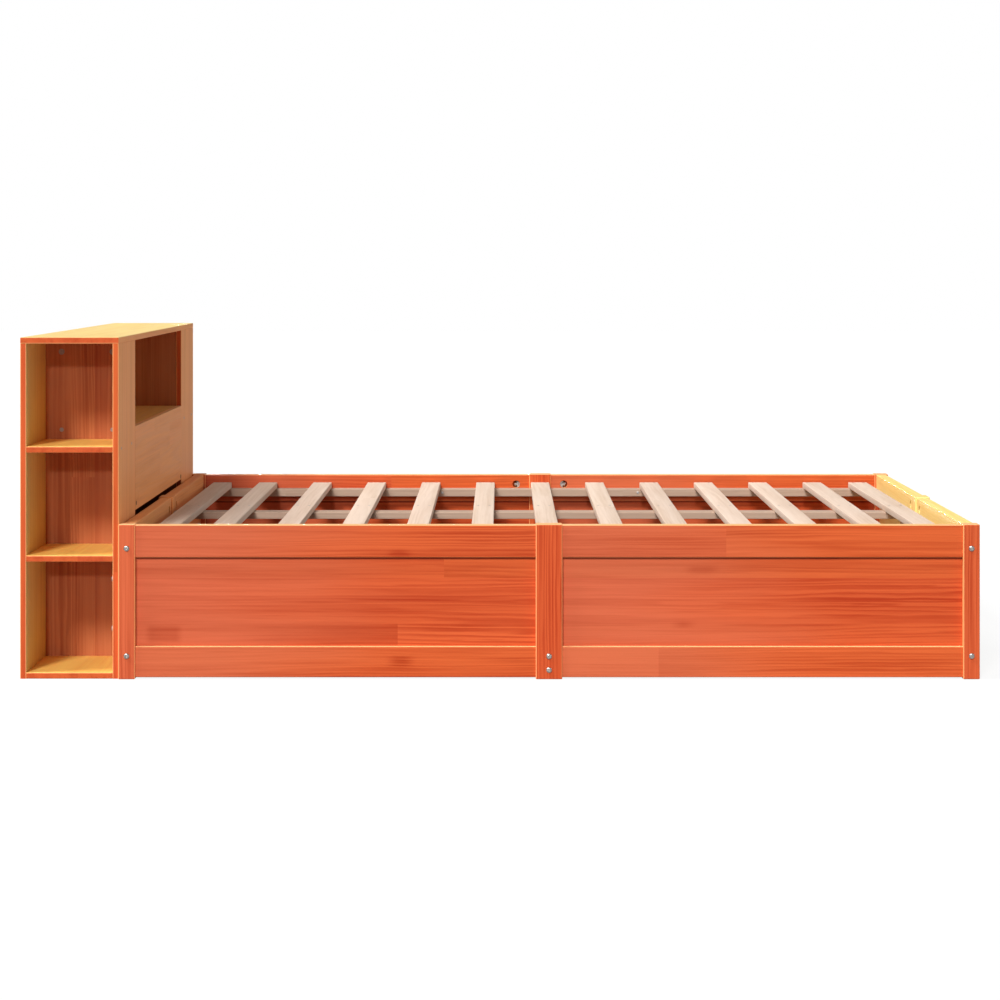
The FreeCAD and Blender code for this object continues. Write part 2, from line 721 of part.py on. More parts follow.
def centre_beam():
    """The flat beam under the middle of the slats."""
    beam = Piece("centre_beam", ("bed_centre - beam_half", "-beam_width / 2", "beam_bottom"),
                 ("2 * beam_half", "beam_width", "beam_height"))
    beam.ease("slat_edge", "x")
    above = [spot for middle in MIDDLES for spot in screw_pair(middle, BEAM_LINE)]
    down = [head_beam_screw, middle_beam_screw, foot_beam_screw]
    return keep(beam.drilled((SLAT_SCREW, above), (BEARER_SCREW, down)))


def cross_member():
    """The bar across the floor at mid length, bolted between the side frames."""
    bar = Piece("cross_member", ("bed_centre - cross_thick / 2", "-inner_width", 0),
                ("cross_thick", "2 * inner_width", "cross_height"))
    bar.ease("rail_edge", "y")
    return keep(bar.drilled((FRAME_BOLT, cross_bolts + cross_bolts_far), (DOWEL, [support_dowel])))


def beam_support():
    """The short post that stands on the cross member and carries the beam."""
    post = Piece("beam_support", ("bed_centre - support_size / 2", "-support_size / 2", "cross_height"),
                 ("support_size", "support_size", "support_height"))
    post.ease("slat_edge", "z")
    return keep(post.drilled((DOWEL, [support_dowel]), (BEARER_SCREW, [middle_beam_screw])))


def cleat():
    """Foot cleat, screwed to the foot frame's centre post under the end of the beam."""
    block = Piece("cleat", ("bed_centre + cleat_face", "-beam_width / 2", "beam_bottom - cleat_height"),
                  ("cleat_length", "beam_width", "cleat_height"))
    return block.drilled((BEARER_SCREW, cleat_screws + [foot_beam_screw]))


one_slat = slat_board()
for number, middle in enumerate(MIDDLES, 1):
    keep(copies(f"slat_{number:02d}", one_slat, [(middle, 0, 0, "+z")]))
opposite(halves("near_ledgers", ledger(), "x"), "near", "far", "y")
centre_beam()
cross_member()
beam_support()
halves("beam_cleats", cleat(), "x")


# ---------------------------------------------------------------- bookcase

def stile():
    """Near front stile, from the end of the bookcase to the edge of the nook."""
    board = Piece("near_stile", ("case_inner_front", "-case_half", 0),
                  ("board_thick", "case_half - nook_half", "top_underside"))
    board.ease("board_edge", "z")
    pins = front_dowels + partition_dowels + stile_dowels
    return board.drilled((CASE_SCREW, all_shelf_screws), (DOWEL, pins), (LINK_BOLT, link_bolts))


def partition():
    """Near partition, between the end compartments and the nook."""
    board = Piece("near_partition", ("case_inner_back", "-partition_outer", 0),
                  ("inner_depth", "board_thick", "top_underside"))
    return board.drilled((CASE_SCREW, partition_screws), (DOWEL, partition_dowels),
                         (NOOK_SCREW, nook_screws), (CAM, cams))


def shelf(name, top):
    """One shelf of the near compartments, flush with the end of the bookcase."""
    board = Piece(f"near_{name}_shelf", ("case_inner_back", "-case_half", f"{top} - board_thick"),
                  ("inner_depth", "bay_depth", "board_thick"))
    board.ease("board_edge", "x")
    return board.drilled((CASE_SCREW, shelf_screws[name]))


def front_board():
    """The board between the stiles, from just above the head frame up to the nook."""
    board = Piece("front_board", ("case_inner_front", "-nook_half", "front_board_bottom"),
                  ("board_thick", "2 * nook_half", "nook_floor_top - front_board_bottom"))
    board.ease("board_edge", "y")
    return board.drilled((DOWEL, front_dowels + across_bed(front_dowels)))


def nook_floor():
    """The floor of the nook, between the partitions."""
    board = Piece("nook_floor", ("case_inner_back", "-nook_half", "nook_floor_top - board_thick"),
                  ("inner_depth", "2 * nook_half", "board_thick"))
    return board.drilled((NOOK_SCREW, nook_screws + across_bed(nook_screws)), (CASE_SCREW, floor_screws))


def back_panel():
    """The wide panel on the wall side."""
    board = Piece("bookcase_back", ("case_back", "-case_half", 0),
                  ("board_thick", "2 * case_half", "top_underside"))
    board.ease("board_edge", "z")
    near = all_shelf_screws + partition_screws
    return board.drilled((CASE_SCREW, near + across_bed(near) + floor_screws), (DOWEL, back_dowels))


def top_board():
    """The top of the bookcase, over all its upright boards."""
    board = Piece("bookcase_top", ("case_back", "-case_half", "top_underside"),
                  ("case_depth", "2 * case_half", "board_thick"))
    board.ease("board_edge", "xyz")
    return board.drilled((DOWEL, stile_dowels + across_bed(stile_dowels) + back_dowels),
                         (CAM, cams + across_bed(cams)))


near_boards = [keep(stile()), keep(partition())]
for name, top in CASE_LEVELS.items():
    near_boards.append(keep(shelf(name, top)))
for board in near_boards:
    opposite(board, "near", "far", "y")
for board in (front_board(), nook_floor(), back_panel(), top_board()):
    keep(board)


# ---------------------------------------------------------------- fasteners in place

def fastened(name, near, middle=()):
    """One sub-part of fasteners: near sets, their mirror images, and sets on the middle line."""
    near_sets = [fastener.set_at(f"{name}_near_{number}", spots)
                 for number, (fastener, spots) in enumerate(near)]
    far_sets = [mirrored(f"{group.Label}_far", group, "y") for group in near_sets]
    middle_sets = [fastener.set_at(f"{name}_middle_{number}", spots)
                   for number, (fastener, spots) in enumerate(middle)]
    return keep(joined("Compound", name, near_sets + far_sets + middle_sets))


def both_ends(spots):
    """Some spots at the foot end, and their mirror images at the head end."""
    turned = {"+x": "-x", "-x": "+x"}
    return spots + [(f"2 * bed_centre - ({x})", y, z, turned.get(way, way)) for x, y, z, way in spots]


slat_screws = [spot for middle in MIDDLES for line in (BEAM_LINE, NEAR_LINE, FAR_LINE)
               for spot in screw_pair(middle, line)]
end_screws = both_ends(cleat_screws + [foot_beam_screw]) + [middle_beam_screw]

fastened("frame_bolts", [(FRAME_BOLT, corner_bolts(1) + corner_bolts(-1) + cross_bolts)])
fastened("link_bolts", [(LINK_BOLT, link_bolts)])
fastened("tie_rods", [(TIE_ROD, side_rods)], [(TIE_ROD, both_ends(foot_rods))])
fastened("bed_screws", [(BEARER_SCREW, both_ends(ledger_screws))],
         [(SLAT_SCREW, slat_screws), (BEARER_SCREW, end_screws)])
fastened("case_screws", [(CASE_SCREW, all_shelf_screws + partition_screws), (NOOK_SCREW, nook_screws)],
         [(CASE_SCREW, floor_screws)])
fastened("cam_fittings", [(CAM, cams)])
fastened("wood_dowels", [(DOWEL, front_dowels + partition_dowels + stile_dowels)],
         [(DOWEL, back_dowels + [support_dowel])])


# ---------------------------------------------------------------- checks and files

doc.recompute()
for thing in doc.Objects:
    if "Invalid" in thing.State or "Error" in thing.State:
        raise ValueError(f"{thing.Label} did not rebuild: {thing.State}")
    groove = thing.TypeId == "PartDesign::SubtractiveBox"
    if groove and thing.Shape.Volume >= thing.BaseFeature.Shape.Volume:
        raise ValueError(f"{thing.Label} cuts nothing")
for part in kept:
    if part.Shape.isNull() or not part.Shape.isValid():
        raise ValueError(f"{part.Label} has no sound shape")

os.makedirs("parts", exist_ok=True)
for part in kept:
    part.Shape.exportStep(f"parts/{part.Label}.step")
print(len(kept), "sub-parts,", sum(len(part.Shape.Solids) for part in kept), "solids")
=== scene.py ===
"""Dresses the bookcase headboard bed: stained pine, plain slats, zinc-plated fasteners, a pale studio.

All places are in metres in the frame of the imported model: +X runs from the bookcase to the foot
end, -Y is the near long side, +Z is up, and the floor is at Z = 0.
"""

import logging
import math
from dataclasses import dataclass
from enum import Enum
from typing import Any, Iterable, Mapping, Sequence, Union

import bmesh
import bpy
from mathutils import Matrix, Vector


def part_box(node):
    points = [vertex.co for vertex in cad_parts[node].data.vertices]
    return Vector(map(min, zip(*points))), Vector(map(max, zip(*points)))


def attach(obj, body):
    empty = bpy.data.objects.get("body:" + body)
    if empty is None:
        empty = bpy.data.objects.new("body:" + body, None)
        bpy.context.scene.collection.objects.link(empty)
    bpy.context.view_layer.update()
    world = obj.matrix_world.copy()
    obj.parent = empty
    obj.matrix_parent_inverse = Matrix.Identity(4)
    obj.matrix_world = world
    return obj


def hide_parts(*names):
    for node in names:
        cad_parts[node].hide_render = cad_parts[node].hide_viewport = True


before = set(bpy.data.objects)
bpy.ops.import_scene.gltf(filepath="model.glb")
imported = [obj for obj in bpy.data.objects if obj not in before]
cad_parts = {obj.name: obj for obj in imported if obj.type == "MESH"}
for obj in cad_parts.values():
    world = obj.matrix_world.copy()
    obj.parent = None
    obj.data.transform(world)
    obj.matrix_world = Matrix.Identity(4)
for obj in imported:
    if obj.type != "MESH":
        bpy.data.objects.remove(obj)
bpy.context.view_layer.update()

LOG = logging.getLogger("bookcase_bed")
MM = 0.001
BED_MIDDLE = 0.119
CASE_BACK = -1.1565
BOARD = 0.015
Rgb = tuple[float, float, float]
Number = Union[float, "Value"]


def seen(red: int, green: int, blue: int) -> Rgb:
    """Linear light of a colour given as it looks on a screen.

    Args:
        red: Red, 0 to 255.
        green: Green, 0 to 255.
        blue: Blue, 0 to 255.

    Returns:
        The three channels as linear light.
    """
    def straight(channel: int) -> float:
        """One channel as linear light."""
        part = channel / 255
        return part / 12.92 if part <= 0.04045 else ((part + 0.055) / 1.055) ** 2.4
    return straight(red), straight(green), straight(blue)


# ---------------------------------------------------------------- node sheets

class Value:
    """A socket that takes part in Python sums; each sum adds a Math node to its tree."""

    def __init__(self, sheet: "NodeSheet", socket: bpy.types.NodeSocket) -> None:
        """Keeps the socket and the sheet that it belongs to."""
        self.sheet = sheet
        self.socket = socket

    def __add__(self, other: Number) -> "Value":
        """Sum."""
        return self.sheet.math("ADD", self, other)

    def __radd__(self, other: Number) -> "Value":
        """Sum with a number on the left."""
        return self.sheet.math("ADD", other, self)

    def __sub__(self, other: Number) -> "Value":
        """Difference."""
        return self.sheet.math("SUBTRACT", self, other)

    def __rsub__(self, other: Number) -> "Value":
        """Difference from a number."""
        return self.sheet.math("SUBTRACT", other, self)

    def __mul__(self, other: Number) -> "Value":
        """Product."""
        return self.sheet.math("MULTIPLY", self, other)

    def __rmul__(self, other: Number) -> "Value":
        """Product with a number on the left."""
        return self.sheet.math("MULTIPLY", other, self)

    def __truediv__(self, other: Number) -> "Value":
        """Quotient."""
        return self.sheet.math("DIVIDE", self, other)

    def __abs__(self) -> "Value":
        """The value without its sign."""
        return self.sheet.math("ABSOLUTE", self)


class NodeSheet:
    """Makes the nodes of one tree, for a material or for geometry."""

    def __init__(self, tree: bpy.types.NodeTree) -> None:
        """Keeps the tree."""
        self.tree = tree

    def make(self, kind: str, settings: Mapping[str, Any] | None = None,
             sockets: Mapping[Union[int, str], Any] | None = None) -> bpy.types.Node:
        """Makes one node.

        Args:
            kind: The node's type.
            settings: Its own settings, set first.
            sockets: Values or links for its inputs, by name or number.

        Returns:
            The node.
        """
        node = self.tree.nodes.new(kind)
        for name, value in (settings or {}).items():
            setattr(node, name, value)
        for key, value in (sockets or {}).items():
            if isinstance(value, Value):
                self.tree.links.new(value.socket, node.inputs[key])
            elif node.inputs[key].type == "RGBA":
                node.inputs[key].default_value = (*value, 1.0)
            else:
                node.inputs[key].default_value = value
        return node

    def value(self, kind: str, settings: Mapping[str, Any] | None = None,
              sockets: Mapping[Union[int, str], Any] | None = None, out: Union[int, str] = 0) -> Value:
        """Makes one node and gives one of its outputs.

        Args:
            kind: The node's type.
            settings: Its own settings.
            sockets: Values or links for its inputs.
            out: The output, by name or number.

        Returns:
            The output.
        """
        return Value(self, self.make(kind, settings, sockets).outputs[out])

    def math(self, operation: str, *terms: Number) -> Value:
        """A Math node on some terms."""
        return self.value("ShaderNodeMath", {"operation": operation}, dict(enumerate(terms)))

    def combine(self, x: Number, y: Number, z: Number) -> Value:
        """A vector from three values."""
        return self.value("ShaderNodeCombineXYZ", None, {0: x, 1: y, 2: z})

    def split(self, vector: Value) -> tuple[Value, Value, Value]:
        """The three values of a vector."""
        node = self.make("ShaderNodeSeparateXYZ", None, {0: vector})
        return Value(self, node.outputs[0]), Value(self, node.outputs[1]), Value(self, node.outputs[2])


class PaintSheet(NodeSheet):
    """The nodes of a material, with the few compound steps that its patterns use."""

    def __init__(self, name: str) -> None:
        """Starts an empty material."""
        self.material = bpy.data.materials.new(name)
        self.material.use_nodes = True
        self.material.node_tree.nodes.clear()
        super().__init__(self.material.node_tree)

    def step(self, value: Number, low: float, high: float, start: float = 0.0, end: float = 1.0) -> Value:
        """A smooth step of a value, from the start at low to the end at high."""
        return self.value("ShaderNodeMapRange", {"interpolation_type": "SMOOTHSTEP"},
                          {0: value, 1: low, 2: high, 3: start, 4: end})

    def fade(self, value: Number, low: float, high: float) -> Value:
        """A smooth step down, from 1 at low to 0 at high."""
        return self.step(value, low, high, 1.0, 0.0)

    def noise(self, vector: Value, scale: float = 1.0, detail: float = 2.0, roughness: float = 0.5) -> Value:
        """Soft noise from 0 to 1 in a vector's space."""
        return self.value("ShaderNodeTexNoise", {"noise_dimensions": "3D"},
                          {"Vector": vector, "Scale": scale, "Detail": detail, "Roughness": roughness})

    def chances(self, vector: Value) -> tuple[Value, Value, Value]:
        """Three random values from 0 to 1 that change from cell to cell."""
        colour = self.value("ShaderNodeTexWhiteNoise", {"noise_dimensions": "3D"}, {"Vector": vector}, 1)
        return self.split(colour)

    def blend(self, factor: Number, first: Union[Rgb, Value], second: Union[Rgb, Value]) -> Value:
        """A mix of two colours."""
        return self.value("ShaderNodeMix", {"data_type": "RGBA"}, {0: factor, 6: first, 7: second}, 2)

    def shine(self, sockets: Mapping[str, Any]) -> bpy.types.Material:
        """Ends the material in one Principled shader with these sockets."""
        shader = self.value("ShaderNodeBsdfPrincipled", None, sockets)
        self.make("ShaderNodeOutputMaterial", None, {0: shader})
        return self.material


class ShapeSheet(NodeSheet):
    """A Geometry Nodes tree with named sizes, which ends in one material."""

    def __init__(self, name: str) -> None:
        """Starts an empty tree with its way in and out."""
        self.group = bpy.data.node_groups.new(name, "GeometryNodeTree")
        super().__init__(self.group)
        self.group.interface.new_socket("Geometry", in_out="INPUT", socket_type="NodeSocketGeometry")
        self.group.interface.new_socket("Geometry", in_out="OUTPUT", socket_type="NodeSocketGeometry")
        self.entry = self.make("NodeGroupInput")
        self.given: dict[str, Any] = {}

    def carrier(self) -> Value:
        """The geometry of the object that carries the tree."""
        return Value(self, self.entry.outputs[0])

    def size(self, name: str, amount: Any, kind: str = "Float") -> Value:
        """Adds a named input.

        Args:
            name: Its name.
            amount: What the modifier will set it to.
            kind: Float, Int or Object.

        Returns:
            Its socket inside the tree.
        """
        item = self.group.interface.new_socket(name, in_out="INPUT", socket_type=f"NodeSocket{kind}")
        self.given[item.identifier] = amount
        return Value(self, self.entry.outputs[name])

    def finish(self, instances: Value, material: bpy.types.Material) -> None:
        """Turns the instances into real faces, gives them their material and closes the tree."""
        real = self.value("GeometryNodeRealizeInstances", None, {0: instances})
        dressed = self.value("GeometryNodeSetMaterial", None, {"Geometry": real, "Material": material})
        self.make("NodeGroupOutput", None, {0: dressed})

    def run(self, label: str, carrier: bpy.types.Mesh) -> bpy.types.Object:
        """Runs the tree on a carrier mesh.

        Args:
            label: The finished piece's name.
            carrier: The mesh that the tree starts from.

        Returns:
            An object whose plain mesh is the tree's result, with no modifier left.
        """
        piece = bpy.data.objects.new(label, carrier)
        bpy.context.scene.collection.objects.link(piece)
        modifier = piece.modifiers.new(label, "NODES")
        modifier.node_group = self.group
        for identifier, amount in self.given.items():
            modifier[identifier] = amount
        graph = bpy.context.evaluated_depsgraph_get()
        result = bpy.data.meshes.new_from_object(piece.evaluated_get(graph), depsgraph=graph)
        piece.modifiers.clear()
        piece.data = result
        result.name = label
        bpy.data.meshes.remove(carrier)
        return piece


# ---------------------------------------------------------------- finishes

class Axis(Enum):
    """A direction of the bed."""

    LENGTH = 0
    WIDTH = 1
    HEIGHT = 2


@dataclass(frozen=True)
class Tone:
    """Colours of the soft early wood and of the dark late wood."""

    early: Rgb
    late: Rgb


@dataclass(frozen=True)
class Knot:
    """A knot, by its place along the grain and across the board."""

    along: float
    across: float
    radius: float = 0.007


@dataclass(frozen=True)
class Accent:
    """A stretch of a board that took more stain or shows its rings more, or less where negative; its shade is
    painted shade that darkens it.
    """

    along: tuple[float, float]
    across: tuple[float, float]
    stained: float = 0.0
    ringed: float = 0.0
    shade: float = 0.0
    start_blur: float = 0.02
    end_blur: float = 0.02
    side_blur: float = 0.008


@dataclass(frozen=True)
class EdgeHighlight:
    """A painted highlight along an edge, by the plane that it lies in."""

    axis: Axis
    place: float
    reach: float = 0.0024


@dataclass(frozen=True)
class Stain:
    """How pine takes one finish. Its tones by the way a face points (side for ±Y, face for ±X, top for +Z)
    are partly the wood's own colour and partly painted light and shade.
    """

    label: str
    side: Tone
    pale: Tone
    face: Tone
    top: Tone
    knot: Rgb = seen(96, 48, 26)
    # Colour of the painted highlights along edges.
    rim: Rgb = seen(244, 160, 104)
    roughness: float = 0.5
    coat: float = 0.03
    gloss: float = 0.12


# Tones by the way a face points: partly the stain's own colour, partly painted light and shade, with lit
# faces painted lighter and yellower.
RED_ORANGE = Tone(seen(214, 96, 48), seen(174, 58, 20))
PALE_ROSE = Tone(seen(208, 103, 67), seen(173, 69, 37))
SHADED_RED = Tone(seen(192, 114, 72), seen(160, 80, 42))
HONEY = Tone(seen(252, 176, 112), seen(228, 144, 84))
# Painted light: a lighter top tone for lit top faces.
PAINTED_LIT_HONEY = Tone(seen(250, 190, 134), seen(240, 168, 106))
OCHRE = Tone(seen(228, 204, 132), seen(202, 176, 104))
# Painted shade: a darker top tone for the shaded nook floor.
PAINTED_SHADE_OLIVE = Tone(seen(226, 170, 96), seen(200, 140, 70))
# Painted light: a yellower top tone for the lit shelf tops.
PAINTED_LIT_AMBER = Tone(seen(255, 206, 108), seen(246, 176, 84))
# Painted light: the foot frame's straw yellow is its stain as it looks in strong light.
PAINTED_LIT_STRAW = Tone(seen(255, 220, 142), seen(248, 202, 114))
# Painted light: a paler top tone for the lit bookcase top.
PAINTED_LIT_CREAM = Tone(seen(240, 210, 140), seen(226, 190, 116))
BARE = Tone(seen(226, 204, 186), seen(202, 174, 150))
# Painted shade: plain pine darkened as it looks in the slats' shadow.
PAINTED_SHADE_BARE = Tone(seen(186, 160, 140), seen(164, 136, 116))

WARM_STAIN = Stain("stained_pine", RED_ORANGE, PALE_ROSE, HONEY, PAINTED_LIT_HONEY)
SHELF_STAIN = Stain("stained_pine_shelves", RED_ORANGE, PALE_ROSE, HONEY, PAINTED_LIT_AMBER)
# Painted shade: the bookcase's insides get their own tones as they look in shade.
PAINTED_SHADE_INSIDE_STAIN = Stain("stained_pine_inside", SHADED_RED, SHADED_RED, HONEY, PAINTED_SHADE_OLIVE)
BACK_STAIN = Stain("stained_pine_back", RED_ORANGE, PALE_ROSE, OCHRE, OCHRE)
TOP_STAIN = Stain("stained_pine_top", RED_ORANGE, PALE_ROSE, HONEY, PAINTED_LIT_CREAM)
HEAD_STAIN = Stain("stained_pine_head", HONEY, HONEY, HONEY, HONEY)
# The foot frame in the painted lit straw tone on every face.
PAINTED_LIT_FOOT_STAIN = Stain("stained_pine_foot", PAINTED_LIT_STRAW, PAINTED_LIT_STRAW, PAINTED_LIT_STRAW, PAINTED_LIT_STRAW)
PLAIN = Stain("plain_pine", BARE, BARE, BARE, BARE, knot=seen(150, 104, 68), roughness=0.62, coat=0.0)
# Ledgers, beam and supports in the darker painted shade tone.
PAINTED_SHADE_BEARER = Stain("bearer_pine", PAINTED_SHADE_BARE, PAINTED_SHADE_BARE, PAINTED_SHADE_BARE, PAINTED_SHADE_BARE, roughness=0.62, coat=0.0)
BEECH = Tone(seen(222, 188, 146), seen(198, 158, 114))
DOWEL_WOOD = Stain("beech", BEECH, BEECH, BEECH, BEECH, roughness=0.6, coat=0.0)

KNOT_STRETCH = 0.62
KNOT_DARKNESS = 0.85
KNOT_PUSH = 3.2
PITH_SPREAD = 0.26
PITH_DEPTH = 0.02
UNEVEN_RINGS = 2.1
RIPPLED_RINGS = 0.85
GRAIN_BUMP = 0.25
GRAIN_HEIGHT = 0.0004


@dataclass(frozen=True)
class Timber:
    """How the wood lies in a board, and the finish that it has.

    The grain runs along one axis. A wide board is glued from staves across another axis, and
    each stave is joined from shorter blocks. Sizes and places are in metres.
    """

    label: str
    stain: Stain
    grain: Axis
    width: Axis
    centre: Sequence[float]
    stave: float = 0.0
    stave_start: float = 0.0
    block: float = 0.55
    ring: float = 0.0072
    contrast: float = 1.0
    seed: int = 1
    pale_start: float = 0.0
    pale_run: float = 0.0
    pale_amount: float = 0.0
    slant: float = 0.03
    unlike: float = 0.05
    own_tone: bool = False
    knots: tuple[Knot, ...] = ()
    accents: tuple[Accent, ...] = ()
    rims: tuple[EdgeHighlight, ...] = ()

    def material(self) -> bpy.types.Material:
        """Builds the material.

        Returns:
            A material with growth rings, fibres, glued blocks and knots in the bed's own space.
        """
        p = PaintSheet(self.label)
        place = p.value("ShaderNodeTexCoord", None, None, "Object")
        normal = p.split(p.value("ShaderNodeTexCoord", None, None, "Normal"))
        axes = p.split(place)
        depth = next(axis for axis in Axis if axis not in (self.grain, self.width))
        along = axes[self.grain.value]
        across = axes[self.width.value]
        deep = axes[depth.value] - self.centre[depth.value]
        if self.stave:
            stave = p.math("FLOOR", (across - self.stave_start) / self.stave)
            local = across - self.stave_start - (stave + 0.5) * self.stave
        else:
            stave = 0.0
            local = across - self.centre[self.width.value]
        shift, _, _ = p.chances(p.combine(stave, self.seed * 1.37, 3.1))
        block = p.math("FLOOR", along / self.block + shift * 7.0 + stave * 0.37)
        chance = p.chances(p.combine(stave * 1.7 + 0.5, block * 2.3 + 0.5, self.seed * 3.7 + 0.5))

        knot_mask, swirl = self._knots(p, along, across)
        stained, ringed, shade = self._accents(p, along, across)
        end_grain = p.step(abs(normal[self.grain.value]), 0.8, 0.95)
        phase = self._rings(p, along, local, deep, chance, block) + swirl
        turn = p.math("FRACT", phase)
        late = p.step(turn, 0.1, 0.72) * p.fade(turn, 0.8, 1.0)
        broad = p.noise(p.combine(along * 1.5 + chance[0] * 9.0, across * 34.0, deep * 34.0 + stave * 9.0),
                        1.0, 3.0, 0.55)
        streaks = p.noise(p.combine(along * 3.0, across * 160.0, deep * 160.0 + stave * 9.0), 1.0, 3.0, 0.6)
        fibres = p.noise(p.combine(along * 14.0, across * 620.0, deep * 620.0), 1.0, 2.0, 0.6)
        patches = p.noise(p.combine(along * 1.8 + self.seed, across * 7.0, deep * 7.0), 1.0, 2.0, 0.5)

        pale = self._pale(p, along, patches)
        strength = self.contrast * (0.14 + 0.4 * p.step(patches, 0.38, 0.68) + ringed)
        strength = strength * (1.0 - 0.65 * pale) * (1.0 - 0.8 * end_grain)
        grain = late * strength + p.step(streaks, 0.45, 0.8) * 0.3
        line = p.math("MINIMUM", grain + p.step(broad, 0.38, 0.72) * (0.42 - 0.1 * pale) + stained, 1.0)
        # Side, face and top tones picked by the face's normal: partly the grain's own colour, partly painted
        # light and shade.
        side = p.blend(line, p.blend(pale, self.stain.side.early, self.stain.pale.early),
                       p.blend(pale, self.stain.side.late, self.stain.pale.late))
        face = p.blend(line, self.stain.face.early, self.stain.face.late)
        top = p.blend(line, self.stain.top.early, self.stain.top.late)
        facing = p.step(abs(normal[Axis.WIDTH.value]), 0.5, 0.85)
        # Painted highlights: paler lines along chosen edges, where light would catch them.
        rim = self._rims(p, axes)
        colour = p.blend(p.step(normal[Axis.HEIGHT.value], 0.3, 0.7), face, top)
        colour = p.blend(facing, colour, p.blend(rim, side, self.stain.rim) if self.rims else side)
        colour = p.blend(knot_mask, colour, self.stain.knot)
        even = 1.0 - self.unlike / 2 + self.unlike * chance[0]
        level = even * (0.96 + 0.08 * fibres) * (0.95 + 0.1 * patches) - 0.04 * end_grain
        # Painted shade from the accents darkens the colour.
        level = level * (1.0 - shade)
        if self.own_tone:
            own = p.value("ShaderNodeAttribute", {"attribute_name": "tone"}, None, "Fac")
            level = level * (0.93 + 0.12 * own)
        hue = 0.498 + 0.004 * chance[1]
        colour = p.value("ShaderNodeHueSaturation", None,
                         {"Hue": hue, "Saturation": 1.0, "Value": level, "Fac": 1.0, "Color": colour})
        height = 0.5 * (1.0 - late) + 0.3 * fibres + 0.2 * streaks
        bump = p.value("ShaderNodeBump", None,
                       {"Strength": GRAIN_BUMP, "Distance": GRAIN_HEIGHT, "Height": height}, "Normal")
        rough = self.stain.roughness + 0.1 * fibres - 0.06 * late
        return p.shine({"Base Color": colour, "Roughness": rough, "Normal": bump,
                        "Coat Weight": self.stain.coat, "Coat Roughness": 0.3,
                        "Specular IOR Level": self.stain.gloss})

    def _rings(self, p: PaintSheet, along: Value, local: Value, deep: Value,
               chance: tuple[Value, Value, Value], block: Value) -> Value:
        """Growth rings, counted out from a pith that wanders past each block.

        Args:
            p: The sheet.
            along: Place along the grain.
            local: Place across the stave, from its middle.
            deep: Place through the board, from its middle.
            chance: Random values of the block.
            block: The block's number.

        Returns:
            The number of rings out from the pith.
        """
        wander = p.noise(p.combine(along * 1.1 + block * 5.3, chance[0] * 40.0, self.seed * 1.9),
                         1.0, 1.0, 0.4)
        sway = p.noise(p.combine(along * 0.9 + block * 3.1, chance[1] * 40.0, self.seed * 2.3),
                       1.0, 1.0, 0.4)
        out = local + (chance[0] - 0.5) * PITH_SPREAD + (wander - 0.5) * 0.04
        down = deep + PITH_DEPTH + chance[1] * 0.05 + (sway - 0.5) * 0.03
        down = down + along * (chance[2] - 0.5) * self.slant
        radius = p.math("SQRT", out * out + down * down)
        uneven = p.noise(p.combine(radius * 90.0, chance[2] * 20.0 + block, along * 0.7), 1.0, 1.0, 0.5)
        ripple = p.noise(p.combine(along * 6.0, local * 50.0, deep * 50.0 + chance[0] * 30.0), 1.0, 2.0, 0.5)
        return radius / self.ring + uneven * UNEVEN_RINGS + ripple * RIPPLED_RINGS

    def _knots(self, p: PaintSheet, along: Value, across: Value) -> tuple[Number, Number]:
        """Knots, and how they push the rings aside.

        Args:
            p: The sheet.
            along: Place along the grain.
            across: Place across the board.

        Returns:
            The knots' mask, and rings to add round them.
        """
        mask: Number = 0.0
        swirl: Number = 0.0
        for knot in self.knots:
            x = (along - knot.along) * KNOT_STRETCH
            y = across - knot.across
            reach = p.math("SQRT", x * x + y * y)
            mask = mask + p.fade(reach, knot.radius * 0.55, knot.radius * 1.05) * KNOT_DARKNESS
            swirl = swirl + p.fade(reach, knot.radius * 0.3, knot.radius * 5.5) * KNOT_PUSH
        return mask, swirl

    def _accents(self, p: PaintSheet, along: Value, across: Value) -> tuple[Number, Number, Number]:
        """The board's own marks, and its painted shade.

        Args:
            p: The sheet.
            along: Place along the grain.
            across: Place across the board.

        Returns:
            How much darker the stain is, how much more the rings show, and how deep the painted shade is.
        """
        stained: Number = 0.0
        ringed: Number = 0.0
        shade: Number = 0.0
        for mark in self.accents:
            start, end = mark.along
            low, high = mark.across
            inside = (p.step(along, start - mark.start_blur, start + mark.start_blur)
                      * p.fade(along, end - mark.end_blur, end + mark.end_blur)
                      * p.step(across, low - mark.side_blur, low + mark.side_blur)
                      * p.fade(across, high - mark.side_blur, high + mark.side_blur))
            stained = stained + inside * mark.stained
            ringed = ringed + inside * mark.ringed
            if mark.shade:
                shade = shade + inside * mark.shade
        return stained, ringed, shade

    def _rims(self, p: PaintSheet, axes: Sequence[Value]) -> Number:
        """Where the board's painted edge highlights are, 0 to 1."""
        mask: Number = 0.0
        for rim in self.rims:
            off = abs(axes[rim.axis.value] - rim.place)
            mask = p.math("MAXIMUM", mask, p.fade(off, rim.reach * 0.55, rim.reach * 1.2))
        return mask

    def _pale(self, p: PaintSheet, along: Value, patches: Value) -> Number:
        """Where the stain is thin: over the first part of each run of the frame.

        Args:
            p: The sheet.
            along: Place along the grain.
            patches: Slow noise that makes the edge uneven.

        Returns:
            How pale the stain is, 0 to 1.
        """
        if not self.pale_run:
            return self.pale_amount
        run = p.math("FRACT", (along - self.pale_start) / self.pale_run)
        return p.fade(run + (patches - 0.5) * 0.5, 0.12, 0.68) * self.pale_amount


